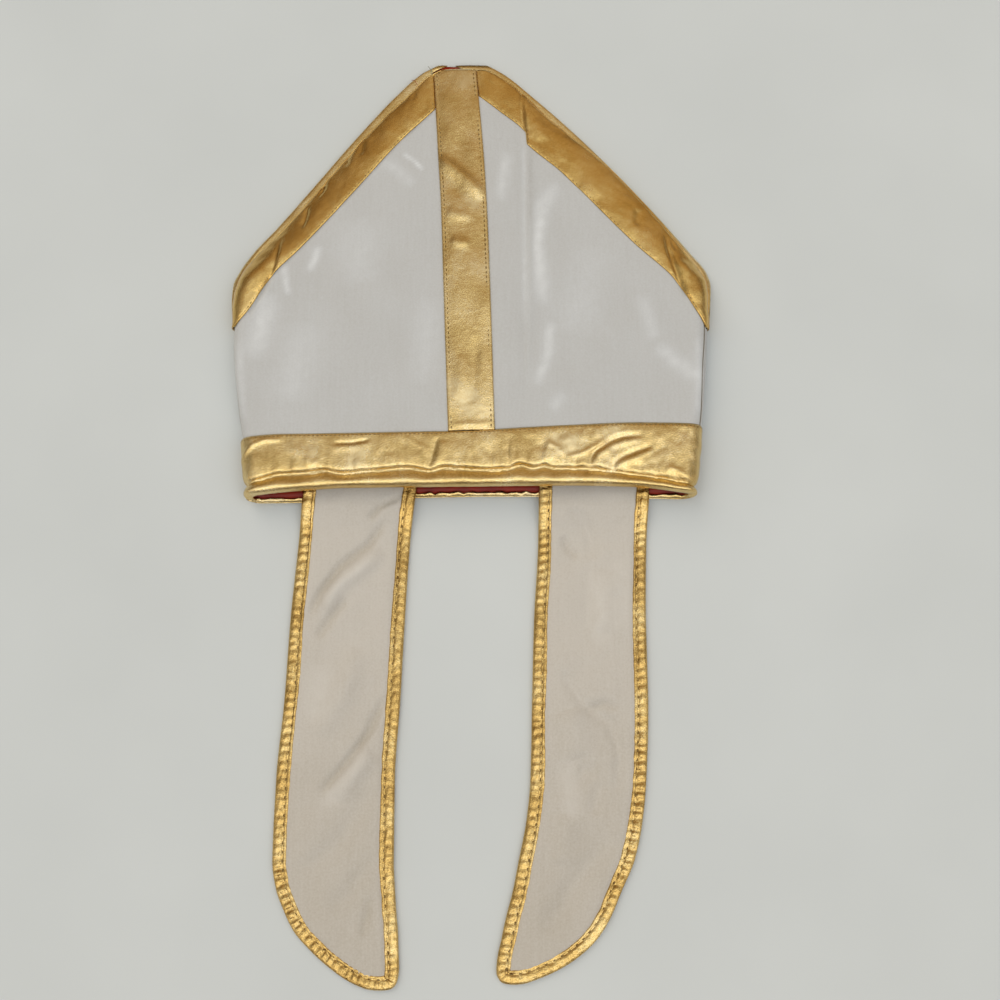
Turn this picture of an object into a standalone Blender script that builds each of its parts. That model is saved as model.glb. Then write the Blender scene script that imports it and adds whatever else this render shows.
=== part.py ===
"""A bishop's mitre of white velour and gold lame, lying flat on its back with both lappets laid out.

X runs across, Y from the lappets to the peak, and Z up from the surface that the mitre lies on.
The origin is on the flat underside of the head band's back. Lengths here are millimetres, and a
mesh is turned to metres as it is made.
"""

import bmesh
import bpy
import numpy as np

METRE = 0.001

# Thickness of each cloth, and the gaps between the layers
TRIM = 1.0
VELOUR = 1.8
LINING = 1.0
LAPPET = 1.2
GAP = 0.4
LINING_GAP = 0.3
BINDING_GAP = 0.25

# Layers by their depth from a panel's outer face, outwards first
TRIM_OUTER = GAP + TRIM
LINING_OUTER = -(VELOUR + LINING_GAP)
LINING_INNER = LINING_OUTER - LINING

# A side seam leaves this part of each sheet's half width open, 0.2 mm of cloth
SEAM = 0.992
FOLD = 0.5

ROLL_STEPS = 4
FRONT_LEFT_STEPS = 4
FRONT_RIGHT_STEPS = 3
BACK_FLAT_STEPS = 3
EDGING_STEPS = 4
LAPPET_STEPS = 8


class Table:
    """Rows of named columns, read on a smooth curve through the rows of the first column."""

    def __init__(self, columns, rows):
        self.columns = columns.split()
        self.rows = np.array(rows, float)

    def at(self, column, place):
        """Monotone cubic through the rows, carried on straight past the first and the last."""
        x = self.rows[:, 0]
        y = self.rows[:, self.columns.index(column)]
        step = np.diff(x)
        rise = np.diff(y) / step
        before, after = rise[:-1], rise[1:]
        wide, near = 2 * step[1:] + step[:-1], step[1:] + 2 * step[:-1]
        same = before * after > 0
        safe_before, safe_after = np.where(same, before, 1), np.where(same, after, 1)
        tangent = (wide + near) / (wide / safe_before + near / safe_after)
        slope = np.concatenate([rise[:1], np.where(same, tangent, 0), rise[-1:]])
        place = np.asarray(place, float)
        inside = np.clip(place, x[0], x[-1])
        i = np.clip(np.searchsorted(x, inside) - 1, 0, len(step) - 1)
        t = (inside - x[i]) / step[i]
        value = (
            (1 + 2 * t) * (1 - t) ** 2 * y[i]
            + t * (1 - t) ** 2 * step[i] * slope[i]
            + t * t * (3 - 2 * t) * y[i + 1]
            + t * t * (t - 1) * step[i] * slope[i + 1]
        )
        ends = np.where(place < x[0], slope[0], slope[-1])
        return value + ends * (place - inside)


# Each sheet across, from below the rim to the peak: its two sides, the height of its flat part,
# how far the middle crowns above that, and the radius and turn in degrees of its rolled sides
FRONT_SECTIONS = Table(
    "height left right flat crown roll turn",
    [
        (-30, -145.0, 144.0, 17.4, 1.6, 8.0, 90),
        (2, -148.5, 148.4, 17.4, 2.2, 8.0, 90),
        (17, -150.5, 150.1, 17.4, 2.4, 8.0, 90),
        (36, -153.9, 152.8, 17.4, 2.6, 8.0, 90),
        (60, -156.7, 154.8, 17.4, 2.8, 8.0, 90),
        (84, -158.3, 156.4, 17.4, 2.8, 8.0, 90),
        (101, -158.9, 157.2, 17.4, 2.8, 8.0, 90),
        (115, -158.4, 157.6, 17.3, 2.8, 8.6, 83),
        (125, -155.5, 156.4, 17.2, 2.7, 10.5, 72),
        (134, -149.6, 151.2, 17.0, 2.6, 14.0, 60),
        (144, -139.6, 143.8, 16.6, 2.4, 19.0, 50),
        (159, -125.4, 133.0, 16.0, 2.2, 24.0, 43),
        (188, -102.0, 110.0, 14.7, 2.0, 31.0, 35),
        (217, -79.5, 83.0, 13.3, 1.6, 34.0, 30),
        (247, -54.8, 49.0, 11.8, 1.2, 28.0, 27),
        (265, -38.7, 32.0, 10.6, 0.8, 18.0, 24),
        (276, -29.5, 19.0, 9.8, 0.4, 12.0, 20),
        (281.5, -21.0, 9.5, 9.3, 0.3, 9.0, 18),
    ],
)
BACK_LEVEL = TRIM_OUTER
BACK_SECTIONS = Table(
    "height left right flat crown roll turn",
    [
        (-30, -145.0, 144.0, BACK_LEVEL, 0, 8.0, 90),
        (2, -148.5, 148.4, BACK_LEVEL, 0, 8.0, 90),
        (17, -150.5, 150.1, BACK_LEVEL, 0, 8.0, 90),
        (36, -153.9, 153.2, BACK_LEVEL, 0, 8.0, 90),
        (60, -156.7, 155.6, BACK_LEVEL, 0, 8.0, 90),
        (84, -158.3, 157.3, BACK_LEVEL, 0, 8.0, 90),
        (101, -159.2, 158.2, BACK_LEVEL, 0, 8.0, 90),
        (115, -160.2, 159.4, BACK_LEVEL, 0, 8.6, 79),
        (125, -160.0, 160.0, BACK_LEVEL, 0, 10.5, 54),
        (134, -157.0, 158.0, BACK_LEVEL, 0, 14.0, 34),
        (149, -148.0, 147.4, BACK_LEVEL, 0, 17.0, 20),
        (168, -131.9, 132.5, BACK_LEVEL, 0, 20.0, 10),
        (201, -105.4, 104.0, BACK_LEVEL, 0, 20.0, 5),
        (235, -78.4, 72.0, BACK_LEVEL, 0, 20.0, 4),
        (267, -50.9, 38.4, BACK_LEVEL, 0, 12.0, 4),
        (281, -36.5, 22.4, BACK_LEVEL, 0, 8.0, 4),
        (288, -24.0, 11.0, BACK_LEVEL, 0, 6.0, 4),
    ],
)

# Inner border of the gold edging on each slope
EDGING = Table(
    "height left right",
    [
        (92, -158.0, 156.5),
        (102, -149.7, 150.4),
        (126, -134.9, 135.2),
        (149, -114.0, 111.5),
        (194, -76.2, 69.9),
        (227, -49.5, 38.5),
        (250, -26.3, 17.0),
        (259, -18.0, 4.0),
    ],
)

# The head band at a place across: its upper edge, its stitched seam and its rim
FRONT_BAND = Table(
    "across top seam rim",
    [
        (-152, 15.5, -11.0, -25.0),
        (-124, 18.2, -6.0, -21.4),
        (-85, 18.6, -4.0, -18.8),
        (0, 19.9, -5.2, -18.1),
        (75, 24.6, -3.4, -17.2),
        (110, 26.0, -4.5, -18.1),
        (136, 25.6, -7.5, -21.4),
        (152, 25.0, -9.5, -22.5),
    ],
)
BACK_BAND = Table(
    "across top seam rim",
    [
        (-152, 15.5, -11.0, -25.0),
        (-126, 16.3, -10.8, -24.8),
        (-27, 19.4, -7.5, -21.1),
        (20, 20.9, -7.0, -20.4),
        (124, 24.1, -8.5, -21.8),
        (152, 25.0, -9.5, -22.5),
    ],
)
# The band's section: where it is measured from, how far above that, its depth from the panel,
# and what a swelling of the front adds. Its outer skin comes first, then its inner one
BAND_SECTION = [
    ("top", 0, TRIM_OUTER, 0, GAP),
    ("seam", 5, TRIM_OUTER, 0.2, GAP),
    ("seam", 0, TRIM_OUTER, -0.5, GAP),
    ("seam", -3.5, TRIM_OUTER, 0.7, GAP),
    ("rim", 4, TRIM_OUTER, 0.9, GAP),
    ("rim", 1.2, TRIM_OUTER, 0.2, GAP),
]
# The rest turns round the rim and up inside: both skins, each a height above the rim and a depth
RIM_TURN = [
    ((0.3, 0.9), (1.2, 0.1)),
    ((0.0, -0.9), (1.0, -0.9)),
    ((0.5, -2.6), (1.3, -2.0)),
    ((2.2, LINING_INNER), (2.2, LINING_OUTER)),
    ((8.0, LINING_INNER), (8.0, LINING_OUTER)),
]
PANEL_ABOVE_RIM = 1.8
LINING_ABOVE_RIM = 8.4

# The strip up the middle leans as it goes up
STRIPE = Table(
    "height left right",
    [
        (20, -15.0, 15.7),
        (111, -18.4, 12.8),
        (182, -21.2, 10.0),
        (214, -23.2, 8.1),
        (270, -26.6, 3.4),
    ],
)
STRIPE_FOOT = 20.0

# The front's standing crease, beside the stripe
CREASE_PLACE = 36.0
CREASE_HEIGHT = 1.0
CREASE_WIDTH = 5.0
CREASE_COLUMN = 7.0
CREASE_WINDOW = Table("height share", [(40, 0), (80, 0.5), (150, 1), (200, 1), (222, 0)])

EDGING_FOOT_HEIGHTS = [95, 98, 101, 104]
PANEL_HEIGHTS = [0, 17, 36, 62, 92, 108, 118, 126, 134, 144, 159, 176, 196, 217, 234, 250, 259, 270]

# Each lappet's two sides, from inside the head opening to its foot
LEFT_LAPPET = Table(
    "down left right",
    [
        (8, -109.8, -34.5),
        (49, -112.7, -39.6),
        (102, -116.8, -42.6),
        (153, -119.2, -44.8),
        (204, -123.0, -47.6),
        (253, -123.9, -47.6),
        (271, -121.0, -46.6),
        (284, -115.8, -45.6),
        (296, -109.5, -44.4),
        (308, -98.5, -43.8),
        (319, -85.5, -43.4),
        (327, -73.0, -44.6),
        (332, -61.0, -48.5),
    ],
)
RIGHT_LAPPET = Table(
    "down left right",
    [
        (8, 44.5, 118.0),
        (49, 44.0, 115.0),
        (102, 41.0, 113.6),
        (153, 39.5, 114.0),
        (204, 38.2, 111.8),
        (229, 35.6, 109.0),
        (253, 30.8, 103.6),
        (271, 27.2, 95.6),
        (290, 22.2, 87.0),
        (302, 19.6, 78.6),
        (313, 17.2, 66.0),
        (321, 16.6, 52.0),
        (328.5, 20.0, 32.5),
    ],
)
BINDING_WIDTH = 9.0
BINDING_HALF = LAPPET / 2 + BINDING_GAP + TRIM
LAPPET_INSET = 2.1
# The binding's section: how far in from the edge, and the height from the lappet's middle
BINDING_SECTION = [
    ((BINDING_WIDTH, BINDING_HALF), (BINDING_WIDTH, BINDING_HALF - TRIM)),
    ((1.0, BINDING_HALF), (1.6, BINDING_HALF - TRIM)),
    ((0.0, 0.0), (1.0, 0.0)),
    ((1.0, -BINDING_HALF), (1.6, TRIM - BINDING_HALF)),
    ((BINDING_WIDTH, -BINDING_HALF), (BINDING_WIDTH, TRIM - BINDING_HALF)),
]
# A lappet's middle: on the back's lining inside, then down over the rim to the surface
LAPPET_INSIDE = BACK_LEVEL - LINING_INNER + LINING_GAP + BINDING_HALF
LAPPET_DROP = Table(
    "down level",
    [
        (8, LAPPET_INSIDE),
        (26, LAPPET_INSIDE),
        (33, LAPPET_INSIDE - 1.6),
        (44, BINDING_HALF + 0.5),
        (54, BINDING_HALF),
        (332, BINDING_HALF),
    ],
)
LAPPET_SAG = 0.95
# Soft folds of each lappet: where each one starts and ends, its height and its half width
LAPPET_FOLDS = {
    "left": [
        (-50, -40, -92, -100, 1.5, 9),
        (-62, -120, -100, -180, 1.2, 8),
        (-60, -160, -92, -215, 1.3, 9),
        (-66, -235, -100, -270, 0.9, 8),
    ],
    "right": [
        (58, -50, 92, -80, 1.2, 9),
        (60, -110, 90, -165, 1.3, 9),
        (98, -130, 66, -185, 1.0, 8),
        (52, -210, 86, -250, 1.0, 9),
    ],
}
LAPPET_DOWNS = [8, 18, 26, 29.5, 33, 37, 41, 47, 54, 70, 88, 106, 124, 142, 160, 180, 204, 229,
                253, 271, 284, 296, 308, 318, 325]


class Sheet:
    """One face of the flattened crown: a flat middle whose sides roll towards the other face.

    A place across it runs from -1 at one side to 1 at the other. Up to FOLD it crosses the flat
    middle, which crowns by (1 - t squared) squared, and past FOLD it turns along an arc.
    """

    def __init__(self, sections, up, last):
        self.sections = sections
        self.up = up
        self.last = last

    def shape(self, height):
        read = {name: self.sections.at(name, height) for name in self.sections.columns[1:]}
        turn = np.radians(read["turn"])
        middle = (read["left"] + read["right"]) / 2
        reach = (read["right"] - read["left"]) / 2 - read["roll"] * np.sin(turn)
        return read, turn, middle, reach

    def point(self, across, height):
        across, height = np.broadcast_arrays(np.asarray(across, float), np.asarray(height, float))
        read, turn, middle, reach = self.shape(height)
        flat = np.clip(across / FOLD, -1, 1)
        angle = np.clip((np.abs(across) - FOLD) / (1 - FOLD), 0, None) * turn
        x = middle + reach * flat + np.sign(across) * read["roll"] * np.sin(angle)
        drop = read["roll"] * (1 - np.cos(angle))
        z = read["flat"] + self.up * (read["crown"] * (1 - flat**2) ** 2 - drop)
        if self.up > 0:
            share = CREASE_WINDOW.at("share", np.clip(height, 40, 222))
            z = z + CREASE_HEIGHT * share * np.exp(-(((x - CREASE_PLACE) / CREASE_WIDTH) ** 2))
        return np.stack([x, height, z], axis=-1)

    def layer(self, across, height, depth):
        """Points at a depth from the sheet's outer face, along the face's normal."""
        small = 1e-3
        side = self.point(across + small, height) - self.point(across - small, height)
        along = self.point(across, height + small) - self.point(across, height - small)
        normal = self.up * np.cross(side, along)
        normal /= np.linalg.norm(normal, axis=-1, keepdims=True)
        return self.point(across, height) + normal * np.asarray(depth)[..., None]

    def place(self, x, height):
        """The place across at which the sheet's flat or rolled part lies at x."""
        read, turn, middle, reach = self.shape(height)
        aside = np.abs(x - middle)
        angle = np.arcsin(np.clip((aside - reach) / read["roll"], 0, np.sin(turn)))
        rolled = FOLD + (1 - FOLD) * angle / turn
        return np.sign(x - middle) * np.where(aside < reach, FOLD * aside / reach, rolled)

    def columns(self, height):
        """Places across for the mesh's columns at a height, with one on the front's crease."""
        roll = np.linspace(SEAM, FOLD, ROLL_STEPS + 1)
        if self.up < 0:
            flat = np.linspace(-FOLD, FOLD, BACK_FLAT_STEPS + 1)
        else:
            _, _, middle, reach = self.shape(height)
            crease = FOLD * min((CREASE_PLACE - middle) / reach, 0.55)
            beside = FOLD * min(CREASE_COLUMN / reach, 0.15)
            left = np.linspace(-FOLD, crease - beside, FRONT_LEFT_STEPS + 1)
            right = np.linspace(crease + beside, FOLD, FRONT_RIGHT_STEPS + 1)
            flat = np.concatenate([left, [crease], right])
        return np.concatenate([-roll[:-1], flat, roll[-2::-1]])


FRONT = Sheet(FRONT_SECTIONS, 1, 281.5)
BACK = Sheet(BACK_SECTIONS, -1, 288.0)


def clear_scene():
    for thing in list(bpy.data.objects):
        bpy.data.objects.remove(thing, do_unlink=True)


def material(name, colour, roughness, metallic):
    made = bpy.data.materials.new(name)
    made.use_nodes = True
    shader = made.node_tree.nodes["Principled BSDF"]
    shader.inputs["Base Color"].default_value = (*colour, 1)
    shader.inputs["Roughness"].default_value = roughness
    shader.inputs["Metallic"].default_value = metallic
    return made


def shell(name, outer, inner, finish, loop=False):
    """A closed solid between two grids of points of the same shape, rows by columns.

    With loop, the last column joins the first one, so that only the first and last rows are edges.
    """
    rows, columns = outer.shape[:2]
    mesh = bmesh.new()
    skins = []
    for grid in (outer, inner):
        skins.append([[mesh.verts.new(p * METRE) for p in row] for row in grid])
    top, bottom = skins
    across = columns if loop else columns - 1
    for i in range(rows - 1):
        for j in range(across):
            k = (j + 1) % columns
            mesh.faces.new((top[i][j], top[i][k], top[i + 1][k], top[i + 1][j]))
            mesh.faces.new((bottom[i][j], bottom[i + 1][j], bottom[i + 1][k], bottom[i][k]))
    for i in (0, rows - 1):
        for j in range(across):
            k = (j + 1) % columns
            mesh.faces.new((top[i][j], bottom[i][j], bottom[i][k], top[i][k]))
    if not loop:
        for j in (0, columns - 1):
            for i in range(rows - 1):
                mesh.faces.new((top[i][j], top[i + 1][j], bottom[i + 1][j], bottom[i][j]))
    bmesh.ops.recalc_face_normals(mesh, faces=mesh.faces)
    bmesh.ops.triangulate(mesh, faces=mesh.faces, quad_method="SHORT_EDGE")
    data = bpy.data.meshes.new(name)
    mesh.to_mesh(data)
    mesh.free()
    data.shade_smooth()
    data.set_sharp_from_angle(angle=np.radians(40))
    data.materials.append(finish)
    made = bpy.data.objects.new(name, data)
    bpy.context.scene.collection.objects.link(made)
    return made


def band_line(sheet, column, across):
    table = FRONT_BAND if sheet is FRONT else BACK_BAND
    return table.at(column, sheet.point(across, 0)[..., 0])


def add_panel(name, sheet, outer, inner, above_rim, finish):
    """A sheet of cloth from above the rim to the peak, between two depths."""
    foot = sheet.columns(0)
    foot_height = band_line(sheet, "rim", foot) + above_rim
    across = np.array([foot] + [sheet.columns(h) for h in [*PANEL_HEIGHTS, sheet.last]])
    height = np.array([foot_height] + [np.full(len(foot), h) for h in [*PANEL_HEIGHTS, sheet.last]])
    return shell(
        name,
        sheet.layer(across, height, np.full(across.shape, outer)),
        sheet.layer(across, height, np.full(across.shape, inner)),
        finish,
    )


def add_head_band(finish):
    """The band's section carried round the front sheet and back along the back sheet."""
    skins = []
    for side in (0, 1):
        rows = []
        for section in [*BAND_SECTION, *RIM_TURN]:
            row = []
            for sheet in (FRONT, BACK):
                across = sheet.columns(0)
                if len(section) == 5:
                    line, above, outer, swelling, inner = section
                    height = band_line(sheet, line, across) + above
                    upward = np.clip(1.5 * (sheet.layer(across, height, np.ones(len(across)))
                                            - sheet.point(across, height))[:, 2], 0, 1)
                    depth = outer + swelling * upward if side == 0 else np.full(len(across), inner)
                else:
                    above, level = section[side]
                    height = band_line(sheet, "rim", across) + above
                    depth = np.full(len(across), level)
                points = sheet.layer(across, height, depth)
                row.append(points if sheet is FRONT else points[::-1])
            rows.append(np.concatenate(row))
        skins.append(np.array(rows))
    return shell("head_band", skins[0], skins[1], finish, loop=True)


def stripe_sides(sheet, height):
    """Where the stripe's two sides lie at a height, inside the sheet's own outline."""
    left = np.maximum(STRIPE.at("left", height), sheet.sections.at("left", height) + 0.6)
    return left, STRIPE.at("right", height)


def add_stripe(name, sheet, finish):
    """The strip up the middle, from the band's upper edge to the peak."""
    heights = np.array([STRIPE_FOOT, *[h for h in PANEL_HEIGHTS if h > 25], sheet.last])
    left, right = stripe_sides(sheet, heights)
    x = np.linspace(left, right, 3, axis=1)
    height = np.repeat(heights[:, None], 3, axis=1)
    across = sheet.place(x, height)
    height[0] = band_line(sheet, "top", across[0]) + GAP
    return shell(
        name,
        sheet.layer(across, height, np.full(x.shape, TRIM_OUTER)),
        sheet.layer(across, height, np.full(x.shape, GAP)),
        finish,
    )


def add_edging(name, sheet, side, finish):
    """The strip along one slope, from its point on the side seam up to the stripe."""
    heights = [*EDGING_FOOT_HEIGHTS, *[h for h in PANEL_HEIGHTS if h > 106], sheet.last - 3]
    outer_rows, inner_rows = [], []
    for height in heights:
        border = float(EDGING.at(side, height))
        left, right = stripe_sides(sheet, height)
        if side == "left":
            border = min(border, left - GAP)
        else:
            border = max(border, right + GAP)
        edge = SEAM if side == "right" else -SEAM
        inward = sheet.place(border, height)
        narrowest = abs(edge) - 0.05
        inward = np.sign(edge) * min(abs(inward), narrowest)
        across = np.linspace(inward, edge, EDGING_STEPS + 1)
        level = np.full(across.shape, height)
        outer_rows.append(sheet.layer(across, level, np.full(across.shape, TRIM_OUTER)))
        inner_rows.append(sheet.layer(across, level, np.full(across.shape, GAP)))
    return shell(name, np.array(outer_rows), np.array(inner_rows), finish)


def fold_height(folds, x, y):
    """The sum of soft ridges, each along a line from its start to its end."""
    total = np.zeros_like(x)
    for x0, y0, x1, y1, height, width in folds:
        run = np.array([x1 - x0, y1 - y0], float)
        length = np.hypot(*run)
        along = np.clip(((x - x0) * run[0] + (y - y0) * run[1]) / length**2, 0, 1)
        off = np.hypot(x - x0 - along * run[0], y - y0 - along * run[1])
        total += height * np.exp(-((off / width) ** 2))
    return total


def add_lappet(name, table, folds, finish):
    """A lappet's velour: rows across it, sagging between its bindings and raised by its folds."""
    downs = np.array([*LAPPET_DOWNS, table.rows[-1, 0] - LAPPET_INSET])
    left = table.at("left", downs)
    right = table.at("right", downs)
    slant_left = np.hypot(1, np.gradient(left, downs))
    slant_right = np.hypot(1, np.gradient(right, downs))
    left = left + LAPPET_INSET * slant_left
    right = right - LAPPET_INSET * slant_right
    share = np.linspace(0, 1, LAPPET_STEPS + 1)
    x = left[:, None] + (right - left)[:, None] * share
    y = np.repeat(-downs[:, None], LAPPET_STEPS + 1, axis=1)
    from_left = (x - left[:, None]) / slant_left[:, None]
    from_right = (right[:, None] - x) / slant_right[:, None]
    from_side = np.minimum(from_left, from_right)
    from_foot = (downs[-1] + y) + 0 * x
    inside = np.clip((np.minimum(from_side, from_foot) - BINDING_WIDTH) / 9, 0, 1)
    outside = np.clip((-y - 44) / 12, 0, 1)
    free = inside * outside
    z = LAPPET_DROP.at("level", -y) + free * (fold_height(folds, x, y) - LAPPET_SAG)
    middle = np.stack([x, y, z], axis=-1)
    half = np.array([0, 0, LAPPET / 2])
    return shell(name, middle + half, middle - half, finish)


def cleared(points, path, inset):
    """Points set in from a path, with those that a sharp corner crowds drawn between the rest."""
    start, run = path[:-1], np.diff(path, axis=0)
    from_start = points[:, None] - start
    share = np.clip((from_start * run).sum(axis=2) / (run**2).sum(axis=1), 0, 1)
    away = np.linalg.norm(from_start - share[..., None] * run, axis=2).min(axis=1)
    order = np.arange(len(points))
    free = away >= 0.96 * inset
    return np.stack([np.interp(order, order[free], points[free, i]) for i in (0, 1)], axis=1)


def add_binding(name, table, finish):
    """The binding's section carried down one side of a lappet, round its foot and up the other."""
    downs = np.array(LAPPET_DOWNS)
    foot = table.rows[-1, 0]
    left = np.stack([table.at("left", downs), -downs], axis=1)
    right = np.stack([table.at("right", downs), -downs], axis=1)[::-1]
    ends = np.array([[table.at("left", foot), -foot], [table.at("right", foot), -foot]], float)
    path = np.concatenate([left, ends, right])
    run = np.diff(path, axis=0)
    run /= np.linalg.norm(run, axis=1, keepdims=True)
    turned = np.stack([-run[:, 1], run[:, 0]], axis=1)
    before = np.concatenate([turned[:1], turned])
    after = np.concatenate([turned, turned[-1:]])
    inward = before + after
    inward /= np.linalg.norm(inward, axis=1, keepdims=True)
    inward /= np.clip((inward * before).sum(axis=1), 0.5, 1)[:, None]
    skins = []
    for side in (0, 1):
        rows = []
        for section in BINDING_SECTION:
            inset, rise = section[side]
            place = cleared(path + inward * inset, path, inset)
            level = LAPPET_DROP.at("level", -place[:, 1]) + rise
            rows.append(np.concatenate([place, level[:, None]], axis=1))
        skins.append(np.array(rows))
    return shell(name, skins[0], skins[1], finish)


def build():
    clear_scene()
    velour = material("white_velour", (0.62, 0.60, 0.57), 0.85, 0.0)
    gold = material("gold_lame", (0.78, 0.55, 0.23), 0.30, 0.9)
    satin = material("red_satin", (0.25, 0.01, 0.015), 0.40, 0.0)
    for name, sheet in (("front", FRONT), ("back", BACK)):
        add_panel(f"{name}_panel", sheet, 0.0, -VELOUR, PANEL_ABOVE_RIM, velour)
        add_panel(f"{name}_lining", sheet, LINING_OUTER, LINING_INNER, LINING_ABOVE_RIM, satin)
        add_stripe(f"{name}_stripe", sheet, gold)
        for side in ("left", "right"):
            add_edging(f"{name}_edging_{side}", sheet, side, gold)
    add_head_band(gold)
    for side, table in (("left", LEFT_LAPPET), ("right", RIGHT_LAPPET)):
        add_lappet(f"{side}_lappet", table, LAPPET_FOLDS[side], velour)
        add_binding(f"{side}_lappet_binding", table, gold)


build()
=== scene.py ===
"""The looks of a bishop's mitre of white velour and gold lame, lying flat on its back.

X runs across, Y from the lappets to the peak, and Z up from the surface. Shapes are worked out in
millimetres and turned to metres as each mesh is made.
"""

from collections import namedtuple

import bpy
import numpy as np
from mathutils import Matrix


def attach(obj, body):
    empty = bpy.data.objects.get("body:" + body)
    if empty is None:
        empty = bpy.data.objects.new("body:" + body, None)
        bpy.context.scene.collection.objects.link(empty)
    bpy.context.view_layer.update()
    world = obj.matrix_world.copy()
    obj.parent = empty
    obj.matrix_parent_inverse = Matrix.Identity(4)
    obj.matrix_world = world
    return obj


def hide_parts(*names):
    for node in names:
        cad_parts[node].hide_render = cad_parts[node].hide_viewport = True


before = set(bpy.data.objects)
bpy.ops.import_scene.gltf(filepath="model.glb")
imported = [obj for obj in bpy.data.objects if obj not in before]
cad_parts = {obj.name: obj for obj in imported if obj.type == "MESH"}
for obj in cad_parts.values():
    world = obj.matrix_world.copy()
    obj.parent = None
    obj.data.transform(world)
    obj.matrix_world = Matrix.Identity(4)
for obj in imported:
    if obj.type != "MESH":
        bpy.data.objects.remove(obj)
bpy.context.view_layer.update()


bl_info = {
    "name": "Bishop's mitre",
    "version": (1, 0, 0),
    "blender": (4, 5, 0),
    "location": "3D View > Sidebar > Mitre",
    "description": "Builds a soft mitre of velour and gold lame with two lappets",
    "category": "Add Mesh",
}

METRE = 0.001

# Thickness of each cloth, and the gaps between the layers
TRIM = 1.0
VELOUR = 1.8
LINING = 1.0
LAPPET = 1.2
GAP = 0.4
LINING_GAP = 0.3
BINDING_GAP = 0.25

# Layers by their depth from a panel's outer face, outwards first
TRIM_OUTER = GAP + TRIM
LINING_OUTER = -(VELOUR + LINING_GAP)
LINING_INNER = LINING_OUTER - LINING

# Places across a sheet: where its flat middle ends, and where its velour ends at the side
FOLD = 0.5
SEAM = 0.992

# The board's top, a little under the cloth so that the two faces don't meet
FLOOR_LEVEL = -0.3

# Stitches: the pitch along the strips, how far in they lie on the middle strip, and its width there
STITCH_PITCH = 3.4
STRIPE_STITCH_INSET = 2.3
STRIPE_WIDTH = 30.5


class Table:
    """Rows of named columns, read on a smooth curve through the rows of the first column."""

    def __init__(self, columns, rows):
        self.columns = columns.split()
        self.rows = np.array(rows, float)

    def at(self, column, place):
        """Monotone cubic through the rows, carried on straight past the first and the last."""
        x = self.rows[:, 0]
        y = self.rows[:, self.columns.index(column)]
        step = np.diff(x)
        rise = np.diff(y) / step
        before, after = rise[:-1], rise[1:]
        wide, near = 2 * step[1:] + step[:-1], step[1:] + 2 * step[:-1]
        same = before * after > 0
        safe_before, safe_after = np.where(same, before, 1), np.where(same, after, 1)
        tangent = (wide + near) / (wide / safe_before + near / safe_after)
        slope = np.concatenate([rise[:1], np.where(same, tangent, 0), rise[-1:]])
        place = np.asarray(place, float)
        inside = np.clip(place, x[0], x[-1])
        i = np.clip(np.searchsorted(x, inside) - 1, 0, len(step) - 1)
        t = (inside - x[i]) / step[i]
        value = (
            (1 + 2 * t) * (1 - t) ** 2 * y[i]
            + t * (1 - t) ** 2 * step[i] * slope[i]
            + t * t * (3 - 2 * t) * y[i + 1]
            + t * t * (t - 1) * step[i] * slope[i + 1]
        )
        ends = np.where(place < x[0], slope[0], slope[-1])
        return value + ends * (place - inside)


# Each sheet across, from below the rim to the peak: its two sides, the height of its flat part,
# how far the middle crowns above that, and the radius and turn in degrees of its rolled sides
FRONT_SECTIONS = Table(
    "height left right flat crown roll turn",
    [
        (-30, -145, 144, 17.4, 1.6, 8, 90),
        (2, -148.5, 148.4, 17.4, 2.2, 8, 90),
        (17, -150.5, 150.1, 17.4, 2.4, 8, 90),
        (36, -153.9, 152.8, 17.4, 2.6, 8, 90),
        (60, -156.7, 154.8, 17.4, 2.8, 8, 90),
        (84, -158.3, 156.4, 17.4, 2.8, 8, 90),
        (101, -158.9, 157.2, 17.4, 2.8, 8, 90),
        (115, -158.4, 157.6, 17.3, 2.8, 8.6, 83),
        (125, -155.5, 156.4, 17.2, 2.7, 11, 62),
        (134, -149.6, 151.2, 17, 2.6, 20, 42),
        (144, -139.6, 143.8, 16.6, 2.4, 42, 27),
        (159, -125.4, 133, 16, 2.2, 72, 20),
        (188, -102, 110, 14.7, 2, 90, 17),
        (217, -79.5, 83, 13.3, 1.6, 84, 16),
        (247, -54.8, 49, 11.8, 1.2, 66, 15),
        (265, -38.7, 32, 10.6, 0.8, 40, 14),
        (276, -29.5, 19, 9.8, 0.4, 25, 13),
        (281.5, -21, 9.5, 9.3, 0.3, 15, 12),
    ],
)
BACK_LEVEL = TRIM_OUTER
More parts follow.
